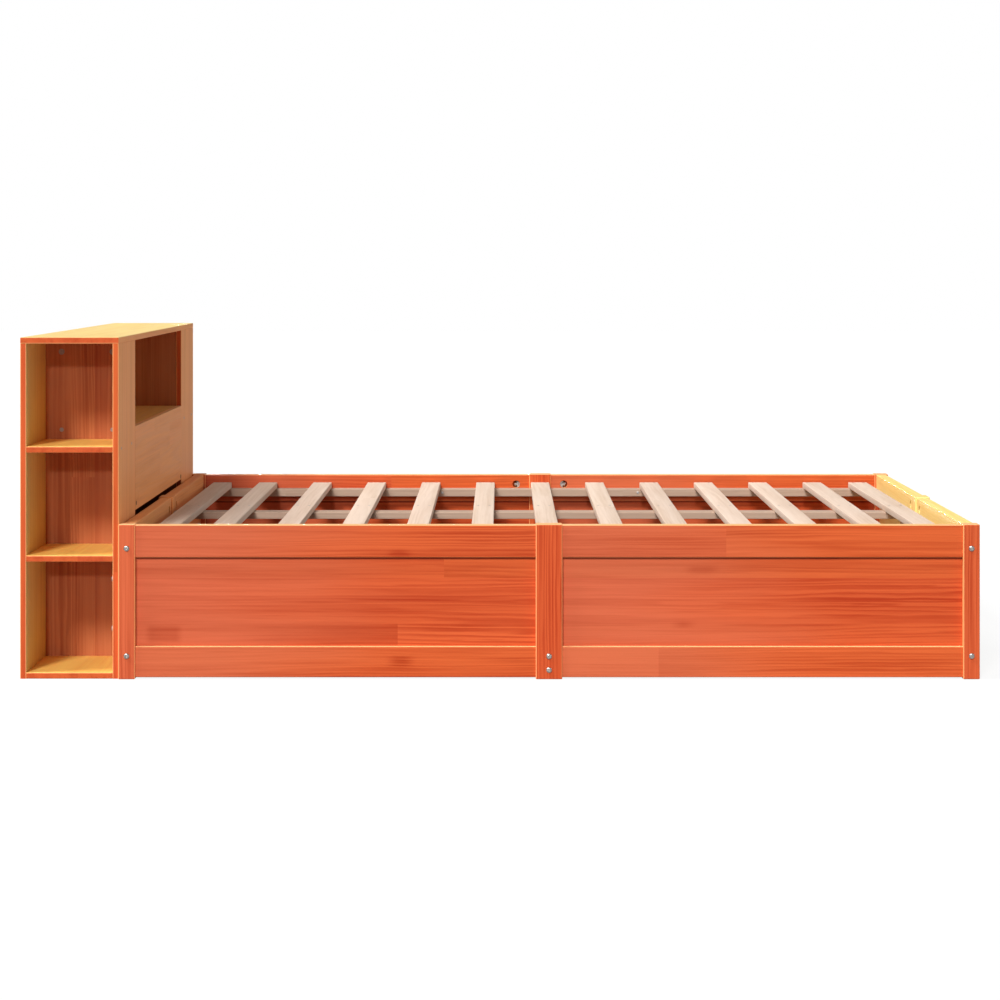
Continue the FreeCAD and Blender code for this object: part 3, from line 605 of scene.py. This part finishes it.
@dataclass(frozen=True)
class MetalPlate:
    """Plated metal, a little uneven."""

    label: str
    bright: Rgb
    dull: Rgb
    metallic: float = 1.0
    roughness: float = 0.22

    def material(self) -> bpy.types.Material:
        """Builds the material."""
        p = PaintSheet(self.label)
        place = p.value("ShaderNodeTexCoord", None, None, "Object")
        cloud = p.noise(place, 260.0, 3.0, 0.6)
        colour = p.blend(p.step(cloud, 0.3, 0.7), self.dull, self.bright)
        rough = self.roughness + 0.14 * cloud
        return p.shine({"Base Color": colour, "Metallic": self.metallic, "Roughness": rough})


ZINC = MetalPlate("zinc_plate", (0.57, 0.54, 0.51), (0.38, 0.36, 0.34), roughness=0.3)
DULL_ZINC = MetalPlate("dull_zinc", (0.42, 0.33, 0.30), (0.32, 0.25, 0.22), 0.4, 0.55)


@dataclass(frozen=True)
class StudioPaint:
    """Pale paint of the studio floor, which the camera sees as near white, with the bed's shadow."""

    label: str = "studio_floor"
    colour: Rgb = (0.40, 0.40, 0.40)
    lift: float = 0.74
    glow: float = 1.2

    def material(self) -> bpy.types.Material:
        """Builds the material."""
        p = PaintSheet(self.label)
        place = p.value("ShaderNodeTexCoord", None, None, "Object")
        mottle = p.noise(place, 1.5, 2.0, 0.5)
        colour = p.blend(mottle, self.colour, tuple(channel * 0.985 for channel in self.colour))
        matt = p.value("ShaderNodeBsdfDiffuse", None, {"Color": colour})
        white = p.value("ShaderNodeEmission", None, {"Color": (1.0, 1.0, 1.0), "Strength": self.glow})
        ray = p.make("ShaderNodeLightPath")
        direct = Value(p, ray.outputs["Is Camera Ray"])
        mixed = p.value("ShaderNodeMixShader", None, {0: direct * self.lift, 1: matt, 2: white})
        p.make("ShaderNodeOutputMaterial", None, {0: mixed})
        return p.material


# ---------------------------------------------------------------- pieces

def middle(node: str) -> Vector:
    """The middle of a CAD node's box."""
    low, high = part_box(node)
    return (low + high) / 2


def dress_node(node: str, material: bpy.types.Material) -> None:
    """Gives a CAD node a better material.

    Args:
        node: The node's name.
        material: The material for all its slots.
    """
    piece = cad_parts[node]
    for slot in piece.material_slots:
        slot.material = material
    LOG.info("%s: dressed with %s", node, material.name)


def dress_board(node: str, stain: Stain, grain: Axis, width: Axis, **traits: Any) -> None:
    """Dresses a wooden CAD node in its own pine.

    Args:
        node: The node's name.
        stain: Its finish.
        grain: The way of its grain.
        width: The way across its staves.
        traits: What else sets its timber apart.
    """
    dress_node(node, Timber(f"{node}_pine", stain, grain, width, middle(node), **traits).material())


def settle(piece: bpy.types.Object, replaced: Iterable[str]) -> None:
    """Fixes a finished piece to the bed.

    Args:
        piece: The piece, with its place in its mesh.
        replaced: CAD nodes that it stands for.
    """
    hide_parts(*replaced)
    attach(piece, "root")
    LOG.info("%s: %d faces", piece.name, len(piece.data.polygons))


class Way(Enum):
    """Which way a fastener runs into the wood, as turns about X and Y from +Z."""

    TO_FAR = (-math.pi / 2, 0.0)
    TO_NEAR = (math.pi / 2, 0.0)
    TO_FOOT = (0.0, math.pi / 2)
    TO_HEAD = (0.0, -math.pi / 2)
    DOWN = (math.pi, 0.0)


@dataclass(frozen=True)
class Spot:
    """Where the head of a fastener sits, and which way it runs from there."""

    x: float
    y: float
    z: float
    way: Way


def mirrored_spots(spots: Iterable[Spot]) -> list[Spot]:
    """Some spots and their mirror images across the middle line of the bed."""
    turned = {Way.TO_FAR: Way.TO_NEAR, Way.TO_NEAR: Way.TO_FAR}
    both: list[Spot] = []
    for spot in spots:
        both += [spot, Spot(spot.x, -spot.y, spot.z, turned.get(spot.way, spot.way))]
    return both


@dataclass
class HeadedPin:
    """A turned fastener along +Z with a recess for its driver, all in millimetres.

    The profile lists radius and height from the rim round the recess, over the head and down the
    shank to the tip.
    """

    label: str
    profile: Sequence[tuple[float, float]]
    recess: Sequence[tuple[float, float]]
    recess_depth: float
    sides: int = 16

    def mesh(self) -> bpy.types.Object:
        """Builds the fastener as an object that only serves as a pattern.

        Returns:
            An object outside the scene.
        """
        shape = bmesh.new()
        rings = [self._ring(shape, polygon(radius, self.sides), height) for radius, height in self.profile]
        for upper, lower in zip(rings, rings[1:]):
            self._join(shape, upper, lower)
        shape.faces.new(rings[-1])
        top = self.profile[0][1]
        mouth = self._ring(shape, self.recess, top)
        floor = self._ring(shape, [(x * 0.8, y * 0.8) for x, y in self.recess], top + self.recess_depth)
        self._join(shape, mouth, floor)
        shape.faces.new(floor)
        edges = [edge for edge in shape.edges if edge.is_boundary]
        bmesh.ops.triangle_fill(shape, edges=edges, use_beauty=True)
        bmesh.ops.recalc_face_normals(shape, faces=shape.faces)
        bmesh.ops.scale(shape, vec=(MM, MM, MM), verts=shape.verts)
        mesh = bpy.data.meshes.new(self.label)
        shape.to_mesh(mesh)
        shape.free()
        return bpy.data.objects.new(self.label, mesh)

    @staticmethod
    def _ring(shape: bmesh.types.BMesh, points: Sequence[tuple[float, float]],
              height: float) -> list[bmesh.types.BMVert]:
        """A closed ring of corners at one height."""
        ring = [shape.verts.new((x, y, height)) for x, y in points]
        for start, end in zip(ring, ring[1:] + ring[:1]):
            shape.edges.new((start, end))
        return ring

    @staticmethod
    def _join(shape: bmesh.types.BMesh, upper: list[bmesh.types.BMVert],
              lower: list[bmesh.types.BMVert]) -> None:
        """A band of faces between two rings."""
        for k in range(len(upper)):
            n = (k + 1) % len(upper)
            shape.faces.new((upper[k], upper[n], lower[n], lower[k]))


def polygon(radius: float, sides: int) -> list[tuple[float, float]]:
    """Corners of a regular polygon, from the reach of its corners."""
    turns = [math.tau * k / sides for k in range(sides)]
    return [(radius * math.cos(turn), radius * math.sin(turn)) for turn in turns]


def cross(reach: float, half: float) -> list[tuple[float, float]]:
    """Corners of a cross recess, from the reach and half width of its arms."""
    arm = [(reach, -half), (reach, half), (half, half)]
    corners: list[tuple[float, float]] = []
    for _ in range(4):
        corners += arm
        arm = [(-y, x) for x, y in arm]
    return corners


@dataclass
class Hardware:
    """The visible fasteners: socket bolts, wood screws and what lies behind them."""

    bed_middle: float = BED_MIDDLE
    half_width: float = 0.7375
    post_line: float = 1.0175
    corner_levels: tuple[float, float] = (0.056, 0.315)
    cross_levels: tuple[float, float] = (0.0225, 0.0555)
    link_levels: tuple[float, float] = (0.120, 0.240)
    link_line: float = 0.7175
    case_front: float = -0.9185
    case_back: float = CASE_BACK
    board: float = BOARD
    shelf_lines: tuple[float, float] = (0.6835, 0.5155)
    shelf_levels: tuple[float, ...] = (0.0075, 0.2895, 0.5525)
    partition_line: float = 0.463
    partition_levels: tuple[float, ...] = (0.120, 0.430, 0.700)
    nook_level: float = 0.5835
    nook_outer: float = 0.4705
    nook_screws: tuple[float, float] = (-1.1015, -0.9735)
    nook_spread: float = 0.300
    slat_top: float = 0.349
    slat_pair: float = 0.0155
    slat_lines: tuple[float, ...] = (-0.015, -0.6805, 0.6805)
    bearer_face: float = 0.6625
    bearer_level: float = 0.321
    bearer_steps: tuple[float, ...] = (0.290, 0.640, 0.9715)
    beam_ends: float = 0.9825
    beam_offset: float = 0.012
    beam_top: float = 0.332
    cleat_face: float = 0.9675
    cleat_level: float = 0.294
    cleat_spread: float = 0.018
    bolt_mm: float = 92.0
    link_mm: float = 32.0
    screw_head_mm: float = 8.0
    nook_head_mm: float = 11.0
    slat_screw_mm: float = 32.0
    bearer_screw_mm: float = 55.0
    case_screw_mm: float = 45.0

    def build(self, steel: bpy.types.Material, dull: bpy.types.Material,
              slat_middles: Sequence[float]) -> None:
        """Builds and places every fastener that has a visible head.

        Args:
            steel: The material of the bright ones.
            dull: The material of those inside the bookcase.
            slat_middles: Places of the slats along the bed.
        """
        bolt = self._bolt("frame_bolt", self.bolt_mm)
        link = self._bolt("link_bolt", self.link_mm)
        self._place("frame_bolts_dressed", bolt, self._frame_spots(), steel, "frame_bolts", 0.0)
        self._place("link_bolts_dressed", link, self._link_spots(), dull, "link_bolts", 0.0)
        head, case = self.screw_head_mm, self.case_screw_mm
        screws = (
            ("slat_screw", "s", head, self.slat_screw_mm, self._slat_spots(slat_middles), steel,
             "bed_screws"),
            ("bearer_screw", "s", head, self.bearer_screw_mm, self._bearer_spots(), steel, "bed_screws"),
            ("case_screw", "s_dressed", head, case, self._case_spots(), steel, "case_screws"),
            ("nook_screw", "s", self.nook_head_mm, case, self._nook_spots(), dull, "case_screws"))
        for name, ending, width, length, spots, metal, node in screws:
            screw = self._screw(name, width, length)
            self._place(name + ending, screw, spots, metal, node, math.tau)

    @staticmethod
    def _bolt(label: str, length: float) -> bpy.types.Object:
        """A domed bolt with a hexagon socket."""
        profile = [(3.1, -3.5), (4.7, -3.25), (5.9, -2.7), (6.7, -1.9), (7.0, -1.0), (7.0, 0.0),
                   (3.0, 0.0), (3.0, length - 1.0), (2.2, length)]
        return HeadedPin(label, profile, polygon(4.0 / math.sqrt(3), 6), 2.0, 24).mesh()

    @staticmethod
    def _screw(label: str, head: float, length: float) -> bpy.types.Object:
        """A countersunk screw with a slightly raised head and a cross recess."""
        rim = head / 2
        profile = [(rim * 0.62, -0.35), (rim * 0.86, -0.22), (rim, 0.0), (2.0, rim * 0.6),
                   (2.0, length - 6.0), (0.4, length)]
        return HeadedPin(label, profile, cross(rim * 0.5, 0.45), 1.5, 16).mesh()

    def _frame_spots(self) -> list[Spot]:
        """Corner bolts, and the pair in each centre post of the long sides."""
        near = [Spot(self.bed_middle + end * self.post_line, -self.half_width, level, Way.TO_FAR)
                for end in (-1, 1) for level in self.corner_levels]
        near += [Spot(self.bed_middle, -self.half_width, level, Way.TO_FAR) for level in self.cross_levels]
        return mirrored_spots(near)

    def _link_spots(self) -> list[Spot]:
        """Bolts from the end compartments into the head posts."""
        inside = self.case_front - self.board
        return mirrored_spots(Spot(inside, -self.link_line, level, Way.TO_FOOT) for level in self.link_levels)

    def _slat_spots(self, slat_middles: Sequence[float]) -> list[Spot]:
        """Pairs of screws where each slat lies on the beam and the ledgers."""
        return [Spot(place + side * self.slat_pair, line, self.slat_top, Way.DOWN)
                for place in slat_middles for line in self.slat_lines for side in (-1, 1)]

    def _bearer_spots(self) -> list[Spot]:
        """Screws of the ledgers, the cleats and the beam."""
        near = [Spot(self.bed_middle + end * step, -self.bearer_face, self.bearer_level, Way.TO_NEAR)
                for end in (-1, 1) for step in self.bearer_steps]
        own = [Spot(self.bed_middle + end * self.cleat_face, side * self.cleat_spread, self.cleat_level,
                    Way.TO_FOOT if end > 0 else Way.TO_HEAD) for end in (-1, 1) for side in (-1, 1)]
        beam = [Spot(self.bed_middle + end * self.beam_ends, self.beam_offset, self.beam_top, Way.DOWN)
                for end in (-1, 0, 1)]
        return mirrored_spots(near) + own + beam

    def _case_spots(self) -> list[Spot]:
        """Screws of the shelves, through the stiles and the back, and of the partitions."""
        near = []
        for line in self.shelf_lines:
            for level in self.shelf_levels:
                near += [Spot(self.case_front, -line, level, Way.TO_HEAD),
                         Spot(self.case_back, -line, level, Way.TO_FOOT)]
        near += [Spot(self.case_back, -self.partition_line, level, Way.TO_FOOT)
                 for level in self.partition_levels]
        floor = [Spot(self.case_back, side * self.nook_spread, self.nook_level, Way.TO_FOOT)
                 for side in (-1, 0, 1)]
        return mirrored_spots(near) + floor

    def _nook_spots(self) -> list[Spot]:
        """Screws of the nook's floor, through the partitions."""
        return mirrored_spots(Spot(x, -self.nook_outer, self.nook_level, Way.TO_FAR)
                              for x in self.nook_screws)

    @staticmethod
    def _place(label: str, pattern: bpy.types.Object, spots: Sequence[Spot], steel: bpy.types.Material,
               node: str, spin: float) -> None:
        """Sets copies of a fastener at its spots.

        Args:
            label: The finished piece's name.
            pattern: The fastener along +Z from its head.
            spots: Where it goes.
            steel: Its material.
            node: The CAD node that it stands for.
            spin: The widest random turn about its own axis.
        """
        carrier = bpy.data.meshes.new(f"{label}_spots")
        carrier.from_pydata([(spot.x, spot.y, spot.z) for spot in spots], [], [])
        turns = carrier.attributes.new("turn", "FLOAT_VECTOR", "POINT")
        for item, spot in zip(turns.data, spots):
            item.vector = (*spot.way.value, 0.0)
        tree = ShapeSheet(f"{label}_tree")
        fastener = tree.size("Fastener", pattern, "Object")
        widest = tree.size("Widest spin", spin)
        seed = tree.size("Seed", 7, "Int")
        turn = tree.value("GeometryNodeInputNamedAttribute", {"data_type": "FLOAT_VECTOR"}, {"Name": "turn"})
        straight = tree.value("FunctionNodeEulerToRotation", None, {0: turn})
        angle = tree.value("FunctionNodeRandomValue", {"data_type": "FLOAT"},
                           {2: 0.0, 3: widest, "Seed": seed}, 1)
        about = tree.value("FunctionNodeAxisAngleToRotation", None, {"Axis": (0.0, 0.0, 1.0), "Angle": angle})
        whole = tree.value("FunctionNodeRotateRotation", {"rotation_space": "LOCAL"}, {0: straight, 1: about})
        shape = tree.value("GeometryNodeObjectInfo", None,
                           {"Object": fastener, "As Instance": True}, "Geometry")
        copies = tree.value("GeometryNodeInstanceOnPoints", None,
                            {"Points": tree.carrier(), "Instance": shape, "Rotation": whole})
        tree.finish(copies, steel)
        piece = tree.run(label, carrier)
        piece.data.shade_smooth()
        piece.data.set_sharp_from_angle(angle=math.radians(38))
        settle(piece, [node])


@dataclass
class SlatDeck:
    """The slats in plain pine, with their ledgers, beam and supports in a darker copy of it that paints their
    shade.
    """

    count: int = 13
    pitch: float = 0.162
    end_reach: float = 0.946
    width: float = 0.055
    thick: float = 0.017
    length: float = 1.393
    edge: float = 0.002
    top: float = 0.349
    bed_middle: float = BED_MIDDLE

    def middles(self) -> list[float]:
        """Places of the slats along the bed: even steps, and one nearer at each end."""
        inner = (self.count - 3) // 2
        steps = [step * self.pitch for step in range(-inner, inner + 1)]
        return [self.bed_middle + step for step in (-self.end_reach, *steps, self.end_reach)]

    def build(self) -> None:
        """Builds the slats and dresses what carries them."""
        timber = Timber("slat_pine", PLAIN, Axis.WIDTH, Axis.LENGTH, (0.0, 0.0, self.top - self.thick / 2),
                        stave=self.pitch, stave_start=self.bed_middle - self.pitch / 2, block=3.0,
                        ring=0.0075, contrast=0.55, seed=11, own_tone=True)
        self._slats(timber.material())
        for side in ("near", "far"):
            dress_board(f"{side}_ledgers", PAINTED_SHADE_BEARER, Axis.LENGTH, Axis.WIDTH, block=1.0, contrast=0.5,
                        seed=21 + len(side))
        bearers = {"centre_beam": (Axis.LENGTH, Axis.WIDTH), "cross_member": (Axis.WIDTH, Axis.HEIGHT),
                   "beam_support": (Axis.HEIGHT, Axis.LENGTH), "beam_cleats": (Axis.WIDTH, Axis.HEIGHT)}
        for number, (node, (grain, width)) in enumerate(bearers.items()):
            dress_board(node, PAINTED_SHADE_BEARER, grain, width, block=1.2, contrast=0.6, seed=31 + number)

    def _slats(self, pine: bpy.types.Material) -> None:
        """Sets rounded slats along the bed.

        Args:
            pine: Their material.
        """
        tree = ShapeSheet("slat_tree")
        count = tree.size("Count of even slats", self.count - 2, "Int")
        pitch = tree.size("Pitch", self.pitch)
        reach = tree.size("End reach", self.end_reach)
        width = tree.size("Width", self.width)
        thick = tree.size("Thickness", self.thick)
        length = tree.size("Length", self.length)
        edge = tree.size("Edge radius", self.edge)
        middle_place = tree.size("Middle of the bed", self.bed_middle)
        top = tree.size("Top", self.top)
        seed = tree.size("Seed", 5, "Int")
        line = tree.value("GeometryNodeCurvePrimitiveLine", None,
                          {"Start": tree.combine(0.0, length * -0.5, 0.0),
                           "End": tree.combine(0.0, length * 0.5, 0.0)})
        flat = tree.value("GeometryNodeCurvePrimitiveQuadrilateral", {"mode": "RECTANGLE"},
                          {"Width": width, "Height": thick})
        section = tree.value("GeometryNodeFilletCurve", {"mode": "POLY"},
                             {"Curve": flat, "Radius": edge, "Count": 3})
        bar = tree.value("GeometryNodeCurveToMesh", None,
                         {"Curve": line, "Profile Curve": section, "Fill Caps": True})
        even = tree.value("GeometryNodeMeshLine", {"mode": "OFFSET"},
                          {"Count": count,
                           "Start Location": tree.combine((count - 1) * pitch * -0.5, 0.0, 0.0),
                           "Offset": tree.combine(pitch, 0.0, 0.0)})
        ends = tree.value("GeometryNodeMeshLine", {"mode": "OFFSET"},
                          {"Count": 2, "Start Location": tree.combine(reach * -1.0, 0.0, 0.0),
                           "Offset": tree.combine(reach * 2.0, 0.0, 0.0)})
        both = tree.make("GeometryNodeJoinGeometry")
        for part in (ends, even):
            tree.tree.links.new(part.socket, both.inputs[0])
        slats = tree.value("GeometryNodeInstanceOnPoints", None,
                           {"Points": Value(tree, both.outputs[0]), "Instance": bar})
        chance = tree.value("FunctionNodeRandomValue", {"data_type": "FLOAT"},
                            {2: 0.0, 3: 1.0, "Seed": seed}, 1)
        toned = tree.value("GeometryNodeStoreNamedAttribute", {"data_type": "FLOAT", "domain": "INSTANCE"},
                           {"Geometry": slats, "Name": "tone", "Value": chance})
        placed = tree.value("GeometryNodeTransform", None,
                            {"Geometry": toned,
                             "Translation": tree.combine(middle_place, 0.0, top - thick * 0.5)})
        tree.finish(placed, pine)
        piece = tree.run("slats", bpy.data.meshes.new("slats_carrier"))
        piece.data.shade_smooth()
        piece.data.set_sharp_from_angle(angle=math.radians(40))
        settle(piece, [f"slat_{number:02d}" for number in range(1, self.count + 1)])


RAIL_MARKS_AND_SHADE = (
    Accent((-0.262, -0.222), (0.297, 0.309), 0.5, 0.3), Accent((-0.262, -0.215), (0.031, 0.053), 0.45, 0.3),
    Accent((0.15, 0.383), (0.0, 0.08), -0.28, 0.15, end_blur=0.0008),
    # Painted shade: darker along the lowest 5.5 mm of the bottom rails, next to the floor.
    Accent((-2.0, 2.0), (0.0, 0.0055), 0.2, 0.0, 0.12, side_blur=0.002))
PANEL_MARKS_AND_SHADOW = (
    Accent((-0.246, 0.12), (0.0767, 0.1300), -0.12, 0.5, start_blur=0.0008, side_blur=0.0012),
    Accent((-0.560, -0.246), (0.0800, 0.1300), 0.5, 0.0, start_blur=0.20, end_blur=0.0008, side_blur=0.005),
    Accent((-0.849, -0.772), (0.088, 0.1255), 0.45, 0.0, start_blur=0.012, end_blur=0.012),
    Accent((-0.36, 0.12), (0.140, 0.229), 0.12, 0.25, start_blur=0.14, side_blur=0.02),
    Accent((0.455, 0.520), (0.254, 0.272), 0.35, 0.0), Accent((0.425, 0.462), (0.123, 0.137), 0.4, 0.0),
    Accent((0.70, 1.12), (0.085, 0.235), 0.12, 0.25, start_blur=0.16, side_blur=0.02),
    # Painted shadow: a dark line on the panel just under the top rail.
    Accent((-2.0, 2.0), (0.2875, 0.31), 0.5, 0.0, 0.45, side_blur=0.0012))


@dataclass
class BedFrames:
    """Side, head and foot frames of posts, rails and thin panels."""

    bed_middle: float = BED_MIDDLE
    post_half: float = 0.032
    run: float = 0.9665
    panel_bottom: float = 0.0767
    panel_stave: float = 0.0552
    rail_block: float = 0.62
    panel_block: float = 0.42
    post_block: float = 2.0

    def build(self) -> None:
        """Dresses the posts, rails and panels of the four frames."""
        start = self.bed_middle + self.post_half
        length = self.run + 2 * self.post_half
        seed = 40
        for side in ("near", "far"):
            for kind in ("top_rails", "bottom_rails", "panels"):
                seed += 1
                node = f"{side}_{kind}"
                wide = kind == "panels"
                # Rails get a painted highlight along their upper edge.
                dress_board(node, WARM_STAIN, Axis.LENGTH, Axis.HEIGHT, seed=seed,
                            stave=self.panel_stave if wide else 0.0, stave_start=self.panel_bottom,
                            block=6.0 if wide else 2.4, contrast=0.85 if wide else 1.0,
                            accents=PANEL_MARKS_AND_SHADOW if wide else RAIL_MARKS_AND_SHADE,
                            ring=0.011 if wide else 0.008, rims=() if wide else self._top_highlight(node),
                            pale_start=start, pale_run=length, pale_amount=1.0)
            for place, pale in (("head", 0.7), ("centre", 0.0), ("foot", 0.2)):
                seed += 1
                node = f"{side}_{place}_post"
                # Posts get painted highlights on their edges.
                dress_board(node, WARM_STAIN, Axis.HEIGHT, Axis.LENGTH, seed=seed, block=self.post_block,
                            contrast=1.3, ring=0.0085, pale_amount=pale, rims=self._post_rims(node, place))
        for end in ("foot", "head"):
            stain = PAINTED_LIT_FOOT_STAIN if end == "foot" else HEAD_STAIN
            for kind in ("top_rails", "bottom_rails", "panels"):
                seed += 1
                node = f"{end}_{kind}"
                wide = kind == "panels"
                dress_board(node, stain, Axis.WIDTH, Axis.HEIGHT, seed=seed, contrast=0.9,
                            stave=self.panel_stave if wide else 0.0, stave_start=self.panel_bottom,
                            block=self.panel_block if wide else self.rail_block)
            seed += 1
            dress_board(f"{end}_centre_post", stain, Axis.HEIGHT, Axis.WIDTH, seed=seed,
                        block=self.post_block, contrast=0.9)

    @staticmethod
    def _top_highlight(node: str) -> tuple[EdgeHighlight, ...]:
        """A painted highlight along the upper edge of a rail."""
        return (EdgeHighlight(Axis.HEIGHT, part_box(node)[1].z, 0.0016),)

    @staticmethod
    def _post_rims(node: str, place: str) -> tuple[EdgeHighlight, ...]:
        """Painted highlights on the upright and upper edges of a post; the foot post's outer edge gets none.
        """
        low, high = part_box(node)
        rims = [EdgeHighlight(Axis.LENGTH, low.x), EdgeHighlight(Axis.HEIGHT, high.z, 0.0016)]
        return tuple(rims if place == "foot" else rims + [EdgeHighlight(Axis.LENGTH, high.x, 0.0016)])


@dataclass
class Bookcase:
    """The headboard: end compartments, a nook, front boards, a back and a top."""

    stave: float = 0.062
    block: float = 0.9
    back: float = CASE_BACK
    half: float = 0.7285
    front_knots: tuple[Knot, ...] = (Knot(-0.437, 0.396, 0.007), Knot(0.440, 0.388, 0.008))

    def build(self) -> None:
        """Dresses every board of the bookcase."""
        inside = self.back + BOARD
        # The top, back, stiles and shelves get painted highlights along some edges.
        self._dress("bookcase_top", TOP_STAIN, Axis.WIDTH, Axis.LENGTH, 71, self.back, 0.5,
                    rims=self._rims("bookcase_top", Axis.HEIGHT, (0,)))
        self._dress("bookcase_back", BACK_STAIN, Axis.HEIGHT, Axis.WIDTH, 72, -self.half, 0.6,
                    rims=self._rims("bookcase_back", Axis.LENGTH, (0, 1)), block=2.0)
        self._dress("front_board", WARM_STAIN, Axis.WIDTH, Axis.HEIGHT, 73, 0.0, 0.5, knots=self.front_knots)
        self._dress("nook_floor", PAINTED_SHADE_INSIDE_STAIN, Axis.WIDTH, Axis.LENGTH, 74, inside, 0.5)
        for number, side in enumerate(("near", "far")):
            seed = 80 + number * 10
            self._dress(f"{side}_stile", WARM_STAIN, Axis.HEIGHT, Axis.WIDTH, seed, -self.half, 0.5,
                        rims=self._rims(f"{side}_stile", Axis.LENGTH, (0, 1)), block=2.0)
            self._dress(f"{side}_partition", PAINTED_SHADE_INSIDE_STAIN, Axis.HEIGHT, Axis.LENGTH, seed + 1, inside, 0.9,
                        block=2.0)
            for step, level in enumerate(("bottom", "lower", "upper")):
                node = f"{side}_{level}_shelf"
                self._dress(node, SHELF_STAIN, Axis.WIDTH, Axis.LENGTH, seed + 2 + step, inside, 0.7,
                            rims=self._rims(node, Axis.HEIGHT, (1,)))

    @staticmethod
    def _rims(node: str, axis: Axis, ends: Sequence[int]) -> tuple[EdgeHighlight, ...]:
        """A board's painted edge highlights, at the low (0) or high (1) ends of its box along an axis."""
        return tuple(EdgeHighlight(axis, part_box(node)[end][axis.value], 0.0022) for end in ends)

    def _dress(self, node: str, stain: Stain, grain: Axis, width: Axis, seed: int, start: float,
               contrast: float, **traits: Any) -> None:
        """Dresses one board that is glued from staves.

        Args:
            node: Its CAD node.
            stain: Its finish.
            grain: The way of its grain.
            width: The way across its staves.
            seed: What sets its pattern apart.
            start: Where the first stave starts.
            contrast: How strongly its rings show.
            traits: Its knots, painted edge highlights and length of blocks, where it has its own.
        """
        dress_board(node, stain, grain, width, seed=seed, stave=self.stave, stave_start=start,
                    contrast=contrast, **{"block": self.block, **traits})


@dataclass
class Studio:
    """The pale floor, the lamps and the camera."""

    floor_half: float = 30.0
    key_level: float = 2.35
    low_level: float = 0.55
    side_level: float = 2.5
    end_level: float = 0.5
    back_level: float = 0.7
    room_level: float = 0.19
    camera_place: tuple[float, float, float] = (0.0046, -6.7685, 1.002)
    lens: float = 90.18
    shift: tuple[float, float] = (-0.00155, -0.2368)

    def build(self) -> None:
        """Builds the studio."""
        self._floor()
        self._lamp("front_lamp", (0.24, 0.79, -0.64), self.key_level, 11.0)
        self._lamp("low_lamp", (0.03, 0.96, -0.25), self.low_level, 2.5)
        self._lamp("side_lamp", (0.62, 0.12, -0.78), self.side_level, 14.0)
        self._lamp("end_lamp", (-0.94, 0.0, -0.34), self.end_level, 20.0)
        self._lamp("back_lamp", (0.1, -0.99, -0.012), self.back_level, 1.0)
        self._room()
        self._camera()

    def _floor(self) -> None:
        """Lays the floor."""
        shape = bmesh.new()
        bmesh.ops.create_grid(shape, x_segments=8, y_segments=8, size=self.floor_half)
        mesh = bpy.data.meshes.new("studio_floor")
        shape.to_mesh(mesh)
        shape.free()
        mesh.transform(Matrix.Translation((0.0, 0.0, -0.0005)))
        mesh.materials.append(StudioPaint().material())
        floor = bpy.data.objects.new("studio_floor", mesh)
        bpy.context.scene.collection.objects.link(floor)

    @staticmethod
    def _lamp(label: str, towards: Sequence[float], level: float, spread: float) -> None:
        """Adds a soft distant lamp.

        Args:
            label: Its name.
            towards: The way its light travels.
            level: Its strength.
            spread: Its width in degrees, which softens its shadows.
        """
        data = bpy.data.lights.new(label, "SUN")
        data.energy = level
        data.angle = math.radians(spread)
        lamp = bpy.data.objects.new(label, data)
        lamp.rotation_euler = Vector(towards).to_track_quat("-Z", "Y").to_euler()
        bpy.context.scene.collection.objects.link(lamp)

    def _room(self) -> None:
        """Lights the room evenly, and shows it white to the camera."""
        world = bpy.data.worlds.new("studio_room")
        bpy.context.scene.world = world
        world.use_nodes = True
        world.node_tree.nodes.clear()
        sheet = NodeSheet(world.node_tree)
        ray = sheet.make("ShaderNodeLightPath")
        shown = Value(sheet, ray.outputs["Is Camera Ray"])
        level = self.room_level + shown * (1.0 - self.room_level)
        back = sheet.value("ShaderNodeBackground", None, {"Color": (1.0, 1.0, 1.0), "Strength": level})
        sheet.make("ShaderNodeOutputWorld", None, {0: back})

    def _camera(self) -> None:
        """Sets the camera level, with the frame shifted down to the bed."""
        data = bpy.data.cameras.new("camera")
        data.sensor_width = 36.0
        data.lens = self.lens
        data.shift_x, data.shift_y = self.shift
        camera = bpy.data.objects.new("camera", data)
        camera.location = self.camera_place
        camera.rotation_euler = (math.pi / 2, 0.0, 0.0)
        bpy.context.scene.collection.objects.link(camera)
        bpy.context.scene.camera = camera
        bpy.context.scene.view_settings.view_transform = "Standard"


def main() -> None:
    """Builds the studio and the bed's sub-assemblies in order."""
    logging.basicConfig(level=logging.INFO, format="%(name)s: %(message)s")
    Studio().build()
    steel = ZINC.material()
    dull = DULL_ZINC.material()
    deck = SlatDeck()
    deck.build()
    BedFrames().build()
    Bookcase().build()
    Hardware().build(steel, dull, deck.middles())
    dress_node("tie_rods", steel)
    dress_node("cam_fittings", dull)
    dowels = Timber("beech_dowels", DOWEL_WOOD, Axis.WIDTH, Axis.LENGTH, middle("wood_dowels"),
                    contrast=0.4, seed=99)
    dress_node("wood_dowels", dowels.material())


if __name__ == "__main__":
    main()
